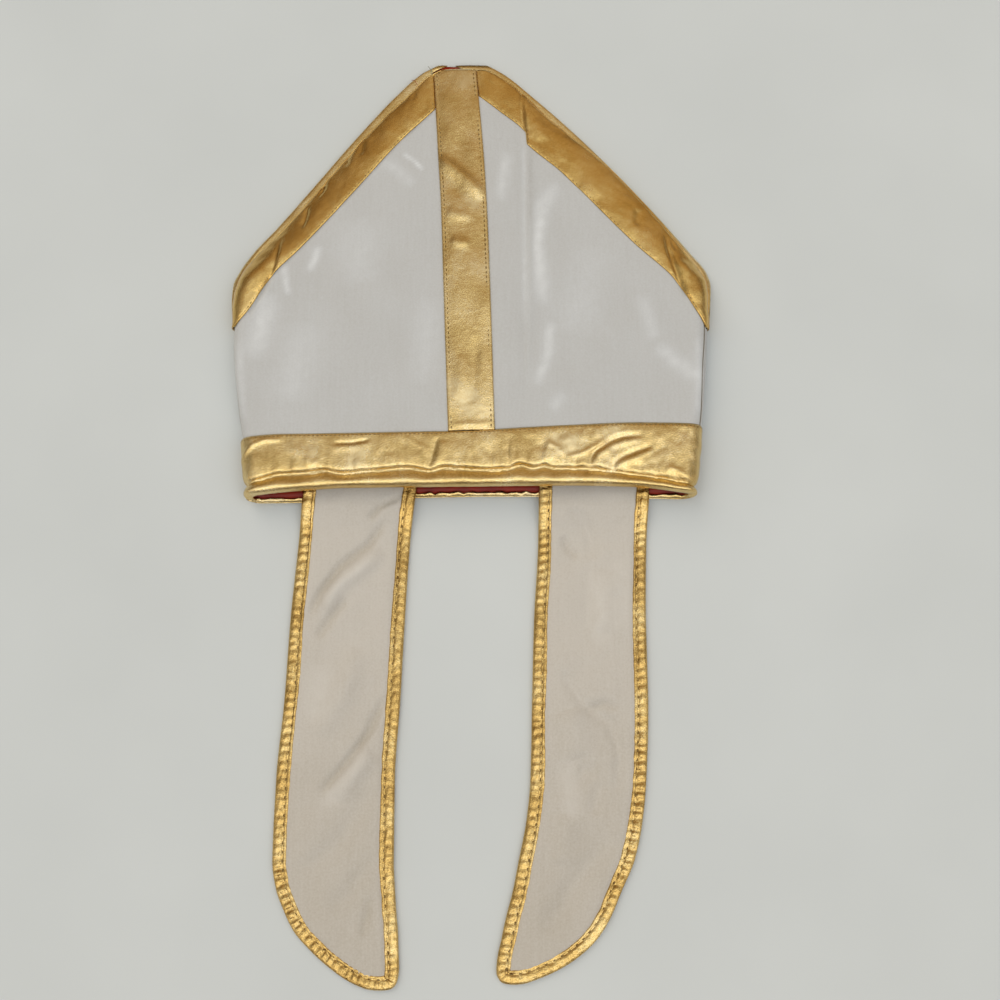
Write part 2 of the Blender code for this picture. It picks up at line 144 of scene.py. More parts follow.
BACK_SECTIONS = Table(
    "height left right flat crown roll turn",
    [
        (-30, -145, 144, BACK_LEVEL, 0, 8, 90),
        (2, -148.5, 148.4, BACK_LEVEL, 0, 8, 90),
        (17, -150.5, 150.1, BACK_LEVEL, 0, 8, 90),
        (36, -153.9, 153.2, BACK_LEVEL, 0, 8, 90),
        (60, -156.7, 155.6, BACK_LEVEL, 0, 8, 90),
        (84, -158.3, 157.3, BACK_LEVEL, 0, 8, 90),
        (101, -159.2, 158.2, BACK_LEVEL, 0, 8, 90),
        (115, -160.2, 159.4, BACK_LEVEL, 0, 8.6, 79),
        (125, -160, 160, BACK_LEVEL, 0, 10.5, 54),
        (134, -157, 158, BACK_LEVEL, 0, 14, 34),
        (149, -148, 147.4, BACK_LEVEL, 0, 17, 20),
        (168, -131.9, 132.5, BACK_LEVEL, 0, 20, 10),
        (201, -105.4, 104, BACK_LEVEL, 0, 20, 5),
        (235, -78.4, 72, BACK_LEVEL, 0, 20, 4),
        (267, -50.9, 38.4, BACK_LEVEL, 0, 12, 4),
        (281, -36.5, 22.4, BACK_LEVEL, 0, 8, 4),
        (288, -24, 11, BACK_LEVEL, 0, 6, 4),
    ],
)

# Inner border of the gold edging on each slope. The front's right one steps at the long crease
EDGING = Table(
    "height left right",
    [
        (92, -158, 156.5),
        (102, -149.7, 150.4),
        (126, -134.9, 135.2),
        (149, -114, 111.5),
        (194, -76.2, 69.9),
        (204, -68.2, 60.2),
        (221.5, -53.8, 40),
        (224, -51.7, 37.4),
        (233.5, -43, 36.4),
        (237, -39.4, 33.3),
        (250, -26.3, 17.6),
        (259, -18, 6.5),
    ],
)

# The head band at a place across: its upper edge, its stitched seam and its rim
FRONT_BAND = Table(
    "across top seam rim",
    [
        (-152, 15.5, -14, -25),
        (-143, 16.6, -12.4, -23.6),
        (-124, 18.2, -8, -21.4),
        (-109, 18.4, -7.2, -20.3),
        (-96, 18.5, -5.6, -19.4),
        (-85, 18.6, -7.6, -18.8),
        (-64, 18.9, -5.9, -18.6),
        (-40, 19.3, -4.2, -18.4),
        (-26.5, 19.5, -6.3, -18.3),
        (-17, 19.6, -4, -18.2),
        (6, 20.3, -5.3, -18),
        (24, 21.5, -4.9, -17.7),
        (33, 22.1, -2.2, -17.6),
        (41, 22.6, -4.3, -17.5),
        (48, 23.1, -2.8, -17.4),
        (56, 23.6, -4.3, -17.3),
        (75, 24.6, -4.3, -17.2),
        (91, 25.5, -6, -17.5),
        (110, 26, -8.4, -18.1),
        (126, 25.9, -10.6, -19.6),
        (143, 25.4, -13.6, -21.9),
        (152, 25, -14.5, -22.5),
    ],
)
BACK_BAND = Table(
    "across top seam rim",
    [
        (-152, 15.5, -14, -25),
        (-126, 16.3, -10.8, -24.8),
        (-27, 19.4, -7.5, -21.1),
        (20, 20.9, -7, -20.4),
        (124, 24.1, -8.5, -21.8),
        (152, 25, -14.5, -22.5),
    ],
)
# The front band's swelling above the lamé's own face: down from its upper edge to the seam,
# and on from the seam to the rim, where it is a padded roll
BAND_ABOVE = Table(
    "share depth",
    [(0, 0.35), (0.03, 1.05), (0.09, 1.25), (0.25, 1.5), (0.6, 1.9), (0.85, 2.05), (0.95, 1.75), (1, 0.35)],
)
BAND_BELOW = Table(
    "share depth",
    [(0, 0.3), (0.05, -0.3), (0.13, -0.4), (0.24, 0.1), (0.36, 0.95), (0.47, 1.6), (0.56, 1.95), (0.64, 2.05),
     (0.72, 1.9), (0.80, 1.45), (0.88, 0.65), (0.94, -0.35), (0.98, -1.4), (1, -2.4)],
)
# How far the band's visible rim lies above the cut's, and round it and up inside: how far above the
# rim, and the depth from the panel's outer face, for the front and the back
RIM_LIFT = 1.2
BAND_TURN = {
    "front": [(0.15, -3), (0.8, -3.5), (2, -3.7), (5, -3.4), (8, -3.2)],
    "back": [(0.1, -1.5), (0.5, -2.5), (1.3, -3.3), (2.3, -3.6), (3.1, -3.2)],
}
BAND_INNER = {
    "front": [(8, LINING_OUTER), (3, -2), (1.3, -1.2), (1.2, 0)],
    "back": [(3.2, LINING_OUTER), (2.4, -1.9), (1.3, -1.2), (1.2, 0)],
}
PANEL_ABOVE_RIM = 1.8
LINING_ABOVE_RIM = 2.6
# The band's cloth is cut this much wider than its mean width, for its gathers
BAND_ALLOWANCE = 1.15

# The strip up the middle leans as it goes up
STRIPE = Table(
    "height left right",
    [
        (20, -15, 15.7),
        (111, -18.4, 12.8),
        (182, -21.2, 10),
        (214, -23.2, 8.1),
        (270, -26.6, 3.4),
    ],
)

# Each lappet's two sides, from inside the head opening to its foot
LEFT_LAPPET = Table(
    "down left right",
    [
        (8, -109.8, -34.5),
        (49, -112.7, -39.6),
        (102, -116.8, -42.6),
        (153, -119.2, -44.8),
        (204, -123, -47.6),
        (253, -123.9, -47.6),
        (271, -121, -46.6),
        (284, -115.8, -45.6),
        (296, -109.5, -44.4),
        (308, -98.5, -43.8),
        (319, -85.5, -43.4),
        (327, -73, -44.6),
        (332, -61, -48.5),
    ],
)
RIGHT_LAPPET = Table(
    "down left right",
    [
        (8, 44.5, 118),
        (49, 44, 115),
        (102, 41, 113.6),
        (153, 39.5, 114),
        (204, 38.2, 111.8),
        (229, 35.6, 109),
        (253, 30.8, 103.6),
        (271, 27.2, 95.6),
        (290, 22.2, 87),
        (302, 19.6, 78.6),
        (313, 17.2, 66),
        (321, 16.6, 52),
        (328.5, 20, 32.5),
    ],
)
LAPPETS = {"left": LEFT_LAPPET, "right": RIGHT_LAPPET}
BINDING_WIDTH = 9
BINDING_HALF = LAPPET / 2 + BINDING_GAP + TRIM
BINDING_STITCH = 6.4
LAPPET_INSET = 2.1
LAPPET_INSIDE = BACK_LEVEL - LINING_INNER + LINING_GAP + BINDING_HALF
LAPPET_DROP = Table(
    "down level",
    [
        (8, LAPPET_INSIDE),
        (26, LAPPET_INSIDE),
        (33, LAPPET_INSIDE - 1.6),
        (44, BINDING_HALF + 0.5),
        (54, BINDING_HALF),
        (332, BINDING_HALF),
    ],
)

# A crease along a line: its height (a groove's is below zero), its half width, and how much higher
# the cloth lies on the line's left than on its right
Crease = namedtuple("Crease", "height width step line")

FRONT_CREASES = [
    Crease(0.6, 1.3, 1.7, [(36, 250), (36.8, 232.8), (37.4, 217.5), (37.6, 140), (37.6, 89.2), (36, 50)]),
    Crease(-0.3, 3.4, 0, [(40.5, 100), (38.8, 68.4), (34.8, 41.1)]),
    Crease(-1.3, 1.1, 0.8, [(35.2, 268), (34, 253.4), (35.2, 241.5), (36.7, 232.8)]),
    Crease(0.5, 4, 0, [(44, 244), (45, 226)]),
    Crease(-0.8, 2.4, 0, [(113.3, 176), (111.1, 163)]),
    Crease(-1.5, 1.7, 0.3, [(130.8, 158.1), (131.7, 149), (135.4, 136.8), (139.8, 121.2), (144, 110)]),
    Crease(-0.8, 1.2, 0, [(134.5, 154.7), (136.3, 146.1)]),
    Crease(0.6, 3, 0, [(141.5, 140), (145.5, 122), (149, 108)]),
    Crease(-1.3, 1.2, 0.8, [(-128.2, 155.9), (-131, 140), (-134, 128.1), (-141.9, 111.2), (-149.2, 98.6)]),
    Crease(0.5, 4, 0, [(-139, 133), (-145, 116)]),
    Crease(-1.2, 1.1, 0.4, [(-111.2, 179.1), (-112.3, 170), (-113.9, 161.7)]),
    Crease(-1.1, 1.1, 0.4, [(-99.5, 199.9), (-101, 192), (-103.9, 186)]),
    Crease(-0.8, 2.2, 0, [(-74.2, 228.7), (-76.1, 216.4)]),
    Crease(-0.8, 1.8, 0, [(-84.3, 221.8), (-86.1, 208.1)]),
    Crease(-0.4, 1.6, 0, [(-41, 256.9), (-39, 264.9)]),
]

STRIPE_CREASES = [
    Crease(2.1, 4.6, 0.2, [(-23.5, 213), (-14, 205.5), (-4.7, 197), (8.9, 183)]),
    Crease(-0.4, 3.4, 0, [(-23, 203), (-12, 190), (0, 177)]),
    Crease(0.9, 3.8, 0, [(-17, 173), (-9, 170), (0, 170)]),
    Crease(1.1, 3.4, 0, [(-14, 153), (-8, 150), (-1, 150)]),
    Crease(-0.8, 3.4, 0, [(4.2, 84), (2.8, 70), (1.6, 56), (1.3, 36.8)]),
    Crease(0.5, 4, 0, [(-6, 72), (-7, 40)]),
    Crease(0.5, 2, 0, [(-16, 23.3), (0, 24.3), (15.6, 25)]),
]

BAND_CREASES = [
    Crease(-1.1, 1, -0.3, [(-89.8, 11.5), (-77.5, 11.7), (-65.8, 13.7)]),
    Crease(0.5, 3, 0, [(-93, 8), (-77.5, 8.5), (-64, 11.7)]),
    Crease(0.8, 1.3, 0.3, [(-148.5, -2), (-146.7, 4.4), (-142.6, 10.4), (-134.9, 13.7), (-122, 14)]),
    Crease(0.5, 4, 0, [(-120, 11), (-107, 3), (-101, -3)]),
    Crease(0.45, 2.2, 0, [(-108.7, 2), (-104, -3), (-97, 0)]),
    Crease(-1, 1.8, 0, [(-22, 15.2), (-24, 7), (-27, -6)]),
    Crease(0.55, 3.2, 0, [(-17, 13), (-19, 4), (-22, -3)]),
    Crease(-0.35, 2, 0, [(-60, 6), (-49, 5.2)]),
    Crease(0.35, 2, 0, [(-42, 15), (-30, 8), (-34, 0)]),
    Crease(0.5, 1.1, 0, [(26.8, 14.1), (26.2, 5.7), (26.8, -1.7)]),
    Crease(0.5, 1.1, 0, [(31.4, 14.1), (31.7, 5.7), (30, -1.7)]),
    Crease(0.8, 1.6, 0, [(48.2, -3), (48.9, 5.7), (50.9, 11.1), (56.8, 8.4), (61.3, 2.3)]),
    Crease(0.5, 4, 0, [(53, 0), (54, 8)]),
    Crease(-1.6, 1.7, 0, [(76.5, -4.1), (77.6, 1), (80.8, 6.6), (90.4, 13.1), (99, 16.4), (112.8, 17.5)]),
    Crease(0.7, 2.2, 0, [(80.5, -3), (84, 4.5), (93, 10), (101, 13), (113, 14)]),
    Crease(-1.3, 1.7, 0, [(91.2, -7.5), (93.7, -1), (98.8, 2.8), (108, 6.5), (120, 10.4)]),
    Crease(0.6, 2.2, 0, [(97, -4), (101, -0.5), (109, 3.2), (120, 7)]),
    Crease(-0.6, 1.8, 0, [(112.5, 1.1), (120, 6.5), (128.6, 10.4)]),
    Crease(-0.5, 2, 0, [(104, -2), (113, -4), (120, 0)]),
    Crease(0.8, 1.5, 0, [(60.6, 2.2), (71.1, 4.3), (82.8, 9.7), (92, 16.5)]),
    Crease(0.7, 4.2, 0, [(56.8, 12.1), (71.2, 17.1), (90.2, 19.5)]),
    Crease(0.8, 1.3, 0, [(125, -10), (129, -5), (134.3, -6.3), (141.7, -12.7)]),
    Crease(0.6, 4, 0, [(118, 16), (136, 20)]),
    Crease(-0.4, 3, 0, [(6, 10), (16, 2)]),
]

LAPPET_CREASES = {
    "left": [
        Crease(-1.1, 2.2, 0.3, [(-44, -20.5), (-52, -24), (-60, -28.2), (-67.2, -37)]),
        Crease(-1.2, 2.6, 0.3, [(-55, -36), (-66.2, -52), (-72.8, -57.3), (-84.6, -66.8), (-97.4, -84),
                                (-104.7, -100.8)]),
        Crease(1, 5, 0, [(-58, -56), (-68, -66), (-86, -80), (-96, -98)]),
        Crease(-0.8, 3, 0.2, [(-80.1, -87.5), (-89, -99), (-99, -114)]),
        Crease(-1.1, 2.6, 0.3, [(-53.7, -150.1), (-63.7, -172.6), (-72.4, -185.2), (-83.1, -198.9),
                                (-95.3, -213.4)]),
        Crease(0.9, 6, 0, [(-62, -186), (-74, -202), (-84, -216)]),
        Crease(0.8, 7, 0, [(-72, -120), (-82, -150), (-96, -178)]),
        Crease(-0.6, 7, 0, [(-60, -208), (-80, -240), (-104, -262)]),
        Crease(-0.6, 6, 0, [(-58, -250), (-76, -274), (-88, -285)]),
        Crease(-0.5, 3, 0, [(-61.9, -275.3), (-63.7, -288.3), (-66.1, -300.3)]),
    ],
    "right": [
        Crease(-0.7, 4, 0.2, [(63.6, -27.8), (73, -34), (77.9, -46.5), (80.3, -63.1)]),
        Crease(-0.6, 2.6, 0, [(60.1, -46.4), (63.1, -54.4), (69.9, -61.7)]),
        Crease(0.6, 8, 0, [(90, -70), (84, -110)]),
        Crease(-0.4, 5, 0, [(77.6, -63), (76, -110.3)]),
        Crease(-0.8, 4, 0.2, [(59.8, -134.9), (66, -147), (75.4, -158.7), (90.3, -168.3), (95.8, -188.5),
                                (93.7, -212.1)]),
        Crease(-0.6, 3, 0, [(74, -160), (86, -156), (94, -160)]),
        Crease(0.8, 9, 0, [(62, -160), (70, -190)]),
        Crease(-0.5, 5, 0, [(68.3, -197.7), (80.3, -199.7)]),
        Crease(-0.7, 7, 0, [(92, -236.3), (75.5, -254.8), (60.3, -277.3), (46.8, -297.2)]),
        Crease(-0.5, 4, 0, [(82, -206), (78, -226)]),
        Crease(0.6, 8, 0, [(62, -226), (56, -256)]),
    ],
}
# Where a lappet's velour is most creased it hangs lower, so every fold stays over the surface
LAPPET_LOWEST = LAPPET / 2 + 0.15

# Marks drawn in the pile's colour: half width, strength, and the line of each. Most paler ones were
# brushed the other way; the pale ones beside folds are painted light, and one below zero is painted
# shade on the dark side of a fold
PileAndLightMark = namedtuple("PileAndLightMark", "width strength line")
FRONT_MARKS = [
    PileAndLightMark(1.8, 0.8, [(-126.2, 136.7), (-124.6, 126), (-122.3, 113.5)]),
    PileAndLightMark(2.2, 0.8, [(-103.1, 150), (-105, 140), (-109, 130.4)]),
    PileAndLightMark(7, 0.5, [(-134.2, 116.7), (-139.2, 95), (-144.2, 68.8)]),
    PileAndLightMark(3, 0.4, [(-154.4, 85), (-153, 55), (-149.7, 25.4)]),
    PileAndLightMark(1.3, 0.8, [(-47.6, 218), (-39.6, 211.9), (-33, 204.4)]),
    PileAndLightMark(4, 0.35, [(-62, 212), (-50, 205), (-40, 192)]),
    PileAndLightMark(12, 0.3, [(-111.5, 96), (-118.8, 38.9)]),
    PileAndLightMark(9, 0.25, [(-27.6, 112.9), (-33.6, 50.6)]),
    PileAndLightMark(14, 0.2, [(-80, 170), (-72, 120)]),
    PileAndLightMark(4.6, 0.65, [(59, 196), (47.3, 178.2), (44.3, 150), (46.8, 118), (49, 104.7)]),
    PileAndLightMark(3.4, 0.6, [(52.5, 96.4), (50.4, 71.7), (43.3, 49.9)]),
    PileAndLightMark(5, 0.45, [(121.4, 79.9), (137.8, 66.3), (152.6, 54.6)]),
    PileAndLightMark(4, 0.4, [(24.4, 219.3), (21, 195.8), (20, 180)]),
    # Painted shade on the long crease's right side and painted light on its left
    PileAndLightMark(3.2, -0.24, [(38.6, 240), (38.6, 217.5), (38.8, 170), (38.8, 118)]),
    PileAndLightMark(2.2, 0.40, [(34.6, 240), (35.8, 217.5), (36, 140), (36, 89.2)]),
    PileAndLightMark(3, 0.5, [(150.7, 86.1), (151, 55), (148.2, 27.4)]),
    PileAndLightMark(14, 0.2, [(79.3, 150.2), (68.7, 84)]),
    PileAndLightMark(5, 0.35, [(112.2, 114.9), (117, 100), (121.7, 82)]),
    PileAndLightMark(3.5, 0.35, [(62, 46), (52, 34)]),
]
# Painted light: pale bands along the lit sides of the lappets' folds
LAPPET_FOLD_HIGHLIGHTS = {
    "left": [
        PileAndLightMark(4, 0.5, [(-64, -60), (-80, -74), (-94, -92)]),
        PileAndLightMark(5, 0.4, [(-66, -182), (-78, -200), (-92, -222)]),
        PileAndLightMark(8, 0.3, [(-96, -130), (-100, -170)]),
    ],
    "right": [
        PileAndLightMark(5, 0.4, [(82, -70), (84, -120)]),
        PileAndLightMark(6, 0.35, [(60, -190), (66, -230)]),
        PileAndLightMark(7, 0.3, [(98, -60), (96, -110)]),
    ],
}

# Puckers of each binding by the length run from its inner end: how strong the ladder of cross
# creases is, and its pitch
LEFT_LADDER = Table(
    "run strength pitch",
    [(0, 0.5, 6), (60, 0.25, 6), (110, 0.5, 5.8), (150, 0.3, 5.8), (240, 0.25, 5.6), (258, 1, 5.6),
     (300, 1, 5), (360, 0.9, 4.2), (385, 0.5, 4.5), (410, 0.15, 5), (560, 0.12, 5.5), (730, 0.2, 6)],
)
RIGHT_LADDER = Table(
    "run strength pitch",
    [(0, 0.3, 5.4), (30, 0.6, 5.4), (70, 0.25, 5.4), (130, 0.5, 5.4), (230, 0.45, 5.4), (300, 0.6, 6),
     (330, 0.3, 5), (400, 0.2, 5), (430, 0.7, 6), (500, 1, 6.2), (540, 0.3, 6), (600, 0.35, 5.6),
     (690, 0.6, 5.2)],
)
LADDERS = {"left": LEFT_LADDER, "right": RIGHT_LADDER}


def linear(colour):
    """An sRGB hex value as linear red, green and blue."""
    values = np.array([int(colour[i : i + 2], 16) for i in (1, 3, 5)]) / 255
    low = values <= 0.04045
    return tuple(float(v) for v in np.where(low, values / 12.92, ((values + 0.055) / 1.055) ** 2.4))


def random_swell(x, y, pitch, seed, count=20):
    """A smooth random field of about unit size: a sum of plane waves round a pitch in millimetres."""
    draw = np.random.default_rng(seed)
    angle = draw.uniform(0, 2 * np.pi, count)
    number = 2 * np.pi / (pitch * draw.uniform(0.75, 1.5, count))
    phase = draw.uniform(0, 2 * np.pi, count)
    total = np.zeros(np.broadcast(x, y).shape)
    for a, k, p in zip(angle, number, phase):
        total += np.cos(k * (np.cos(a) * x + np.sin(a) * y) + p)
    return total * np.sqrt(2 / count)


def from_line(x, y, line):
    """Distance from a line through points, the side of it (+1 on its left), and the share run."""
    points = np.array(line, float)
    runs = np.diff(points, axis=0)
    lengths = np.hypot(runs[:, 0], runs[:, 1])
    before = np.concatenate([[0], np.cumsum(lengths)[:-1]])
    best = np.full(x.shape, np.inf)
    side = np.ones(x.shape)
    share = np.zeros(x.shape)
    for start, run, length, past in zip(points[:-1], runs, lengths, before):
        off_x, off_y = x - start[0], y - start[1]
        along = np.clip((off_x * run[0] + off_y * run[1]) / length**2, 0, 1)
        away = np.hypot(off_x - along * run[0], off_y - along * run[1])
        nearer = away < best
        best = np.where(nearer, away, best)
        side = np.where(nearer, np.sign(run[0] * off_y - run[1] * off_x), side)
        share = np.where(nearer, (past + along * length) / lengths.sum(), share)
    return best, side, share


def creased(x, y, creases):
    """Sum over the creases of a bell across the line plus a step, fading out at the line's ends."""
    total = np.zeros(x.shape)
    for crease in creases:
        away, side, share = from_line(x, y, crease.line)
        taper = 1 - (2 * share - 1) ** 4
        bell = np.exp(-((away / crease.width) ** 2))
        step = np.tanh(1.6 * side * away / crease.width) * np.exp(-((away / (3.5 * crease.width)) ** 2))
        total += taper * (crease.height * bell + 0.5 * crease.step * step)
    return total


def brushed(x, y, marks, seed):
    """How pale the pile is drawn: a bell across each mark's line, and soft random patches. The marks beside folds
    give painted light and painted shade.
    """
    total = 0.012 * random_swell(x, y, 40, seed)
    for mark in marks:
        away, _, share = from_line(x, y, mark.line)
        ragged = 1 + 0.12 * random_swell(x, y, 9, seed + 2)
        taper = 1 - (2 * share - 1) ** 4
        total = total + 0.6 * mark.strength * taper * ragged * np.exp(-((away / mark.width) ** 2))
    return np.clip(total, -0.4, 1.0)


class Sheet:
    """One face of the flattened crown: a flat middle whose sides roll towards the other face.

    A place across it runs from -1 at one side to 1 at the other. Up to FOLD it crosses the flat
    middle, which crowns by (1 - t squared) squared, and past FOLD it turns along an arc.
    """

    def __init__(self, name, sections, up, last, band):
        self.name = name
        self.front = up > 0
        self.sections = sections
        self.up = up
        self.last = last
        self.band = band

    def shape(self, height):
        """The section's values at a height, its turn in radians, its middle and its flat half."""
        read = {name: self.sections.at(name, height) for name in self.sections.columns[1:]}
        turn = np.radians(read["turn"])
        middle = (read["left"] + read["right"]) / 2
        reach = (read["right"] - read["left"]) / 2 - read["roll"] * np.sin(turn)
        return read, turn, middle, reach

    def point(self, across, height):
        """Points of the outer face."""
        across, height = np.broadcast_arrays(np.asarray(across, float), np.asarray(height, float))
        read, turn, middle, reach = self.shape(height)
        flat = np.clip(across / FOLD, -1, 1)
        angle = np.clip((np.abs(across) - FOLD) / (1 - FOLD), 0, None) * turn
        x = middle + reach * flat + np.sign(across) * read["roll"] * np.sin(angle)
        drop = read["roll"] * (1 - np.cos(angle))
        z = read["flat"] + self.up * (read["crown"] * (1 - flat**2) ** 2 - drop)
        return np.stack([x, height, z], axis=-1)

    def layer(self, across, height, depth):
        """Points at a depth from the sheet's outer face, along the face's normal."""
        small = 1e-3
        side = self.point(across + small, height) - self.point(across - small, height)
        along = self.point(across, height + small) - self.point(across, height - small)
        normal = self.up * np.cross(side, along)
        normal /= np.linalg.norm(normal, axis=-1, keepdims=True)
        return self.point(across, height) + normal * np.asarray(depth)[..., None]

    def place(self, x, height):
        """The place across at which the sheet's flat or rolled part lies at x."""
        read, turn, middle, reach = self.shape(height)
        aside = np.abs(x - middle)
        angle = np.arcsin(np.clip((aside - reach) / read["roll"], 0, np.sin(turn)))
        rolled = FOLD + (1 - FOLD) * angle / turn
        return np.sign(x - middle) * np.where(aside < reach, FOLD * aside / reach, rolled)

    def run(self, across, height):
        """Millimetres of cloth from the sheet's middle to a place across."""
        read, turn, _, reach = self.shape(height)
        aside = np.abs(across)
        rolled = np.clip(aside - FOLD, 0, None) / (1 - FOLD)
        return reach * np.minimum(aside, FOLD) / FOLD + read["roll"] * turn * rolled

    def reached(self, run, height):
        """The place across that lies this many millimetres of cloth from the middle."""
        read, turn, _, reach = self.shape(height)
        rolled = FOLD + (1 - FOLD) * (run - reach) / (read["roll"] * turn)
        return np.where(run < reach, FOLD * run / reach, rolled)

    def columns(self, flat_steps, roll_steps, end=SEAM):
        """Places across, close together on the rolled sides."""
        roll = np.linspace(end, FOLD, roll_steps + 1)
        flat = np.linspace(-FOLD, FOLD, flat_steps + 1)
        return np.concatenate([-roll[:-1], flat, roll[-2::-1]])

    def line(self, column, across):
        """The height of the band's upper edge, seam or rim at places across."""
        return self.band.at(column, self.point(across, 0)[..., 0])


FRONT = Sheet("front", FRONT_SECTIONS, 1, 281.5, FRONT_BAND)
BACK = Sheet("back", BACK_SECTIONS, -1, 288.0, BACK_BAND)
SHEETS = (FRONT, BACK)


def smooth(low, high, value):
    """0 at low, 1 at high, and a smooth S between."""
    t = np.clip((value - low) / (high - low), 0, 1)
    return t * t * (3 - 2 * t)


def run_along(points):
    """The length run at each point of a line."""
    return np.concatenate([[0], np.cumsum(np.linalg.norm(np.diff(points, axis=0), axis=1))])


def at_runs(wanted, run, points):
    """Points of a line at the wanted lengths run."""
    return np.stack([np.interp(wanted, run, column) for column in points.T], axis=1)


def softened(points, times):
    """A line whose points are each drawn towards their neighbours, with its ends kept."""
    points = points.copy()
    for _ in range(times):
        points[1:-1] = (points[:-2] + 2 * points[1:-1] + points[2:]) / 4
    return points


def grid_quads(rows, columns, closed_rows=False, closed_columns=False):
    """Quads of a grid of points, which may join its last row or column to its first."""
    i = np.arange(rows if closed_rows else rows - 1)[:, None]
    j = np.arange(columns if closed_columns else columns - 1)[None, :]
    below, beside = (i + 1) % rows, (j + 1) % columns
    corners = [i * columns + j, i * columns + beside, below * columns + beside, below * columns + j]
    return np.stack([np.broadcast_to(c, (i.size, j.size)) for c in corners], axis=-1).reshape(-1, 4)


def make_piece(name, points, quads, finish, uv=None, pile=None):
    """A mesh object at the origin from points in millimetres, with an optional UV map and pile."""
    mesh = bpy.data.meshes.new(name)
    mesh.from_pydata((points * METRE).tolist(), [], quads.tolist())
    if uv is not None:
        layer = mesh.uv_layers.new(name="cloth")
        corner = np.empty(len(mesh.loops), np.int32)
        mesh.loops.foreach_get("vertex_index", corner)
        layer.data.foreach_set("uv", (uv * METRE)[corner].astype(np.float32).ravel())
    if pile is not None:
        mesh.attributes.new("pile", "FLOAT", "POINT").data.foreach_set("value", pile.astype(np.float32))
    mesh.polygons.foreach_set("use_smooth", np.ones(len(mesh.polygons), bool))
    mesh.materials.append(finish)
    mesh.validate()
    mesh.update()
    piece = bpy.data.objects.new(name, mesh)
    bpy.context.scene.collection.objects.link(piece)
    return piece


def cloth_area(points):
    """Half the sum of the cross products of each quad's diagonals, in square metres."""
    first = points[1:, 1:] - points[:-1, :-1]
    second = points[1:, :-1] - points[:-1, 1:]
    return float(np.linalg.norm(np.cross(first, second), axis=-1).sum() / 2) * METRE**2


def double_cloth(name, outer, inner, finish, uv, pile=None):
    """A closed thin solid: a grid of points for each face, joined round the four edges."""
    rows, columns = outer.shape[:2]
    count = rows * columns
    face = grid_quads(rows, columns)
    edge = np.concatenate([
        np.arange(columns),
        np.arange(1, rows) * columns + columns - 1,
        (rows - 1) * columns + np.arange(columns - 2, -1, -1),
        np.arange(rows - 2, 0, -1) * columns,
    ])
    after = np.roll(edge, -1)
    rim = np.stack([after, edge, edge + count, after + count], axis=1)
    quads = np.concatenate([face, face[:, ::-1] + count, rim])
    points = np.concatenate([outer.reshape(-1, 3), inner.reshape(-1, 3)])
    a, b, c = (points[face[:, k]] for k in (0, 1, 3))
    facing = (np.cross(b - a, c - a) * (a - points[face[:, 0] + count])).sum()
    if facing < 0:
        quads = quads[:, ::-1]
    flat = np.concatenate([uv.reshape(-1, 2)] * 2)
    both = None if pile is None else np.concatenate([pile.ravel()] * 2)
    return make_piece(name, points, quads, finish, flat, both)


def loop_uv(around, along):
    """Cloth coordinates of a closed section carried along a line, from the lengths run each way."""
    return np.stack(np.broadcast_arrays(around, along), axis=-1).reshape(-1, 2)


def sheet_uv(points):
    """Cloth coordinates: the length run across each row and down the middle column."""
    across = np.linalg.norm(np.diff(points, axis=1), axis=-1)
    across = np.concatenate([np.zeros((len(points), 1)), np.cumsum(across, axis=1)], axis=1)
    across -= across[:, across.shape[1] // 2][:, None]
    return np.stack([across, np.broadcast_to(points[..., 1], across.shape)], axis=-1)


def flat_of(points):
    """A cloth's widest and longest runs along its grid, in metres, and its area."""
    across, along = (
        float(np.linalg.norm(np.diff(points, axis=way), axis=-1).sum(axis=way).max() * METRE) for way in (1, 0)
    )
    return (across, along), min(cloth_area(points), across * along)


def declare(piece, node, slot, flat, area, held, rests_on):
    """Rides the piece on the body and hides the node. The cloth's flat size and area are not used."""
    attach(piece, "root")
    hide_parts(node)


def add_node(tree, kind, settings=None, links=None):
    """Adds a node. Settings name its properties or sockets, and links its inputs' sources."""
    node = tree.nodes.new(kind)
    for name, value in (settings or {}).items():
        if name in node.inputs:
            node.inputs[name].default_value = value
        else:
            setattr(node, name, value)
    for name, source in (links or {}).items():
        tree.links.new(source, node.inputs[name])
    return node


def new_material(name):
    """An empty node material and its Principled shader, joined to the output."""
    made = bpy.data.materials.new(name)
    made.use_nodes = True
    tree = made.node_tree
    tree.nodes.clear()
    shader = tree.nodes.new("ShaderNodeBsdfPrincipled")
    output = tree.nodes.new("ShaderNodeOutputMaterial")
    tree.links.new(shader.outputs["BSDF"], output.inputs["Surface"])
    return made, tree, shader


def linear_ramp(tree, source, stops):
    """Colours along a factor: each stop is a position and a linear colour."""
    ramp = add_node(tree, "ShaderNodeValToRGB", links={"Fac": source})
    elements = ramp.color_ramp.elements
    while len(elements) < len(stops):
        elements.new(0.5)
    for element, (position, colour) in zip(elements, stops):
        element.position = position
        element.color = (*colour, 1)
    return ramp.outputs["Color"]


def colour_ramp(tree, source, stops):
    """Colours along a factor: each stop is a position and an sRGB hex value."""
    return linear_ramp(tree, source, [(position, linear(colour)) for position, colour in stops])


def per_metre(pitch):
    """A texture's scale for features of a pitch in millimetres."""
    return 1.0 / (pitch * METRE)


def noise(tree, place, pitch, detail, roughness=0.5, distortion=0.0):
    """Noise whose features have a pitch in millimetres."""
    settings = {"Scale": per_metre(pitch), "Detail": detail, "Roughness": roughness, "Distortion": distortion}
    return add_node(tree, "ShaderNodeTexNoise", settings, {"Vector": place}).outputs["Fac"]


def bumped(tree, height, strength, distance, under=None):
    """A normal bent by a height, whose full range is a distance in millimetres."""
    links = {"Height": height, "Normal": under} if under else {"Height": height}
    settings = {"Strength": strength, "Distance": distance * METRE}
    return add_node(tree, "ShaderNodeBump", settings, links).outputs["Normal"]


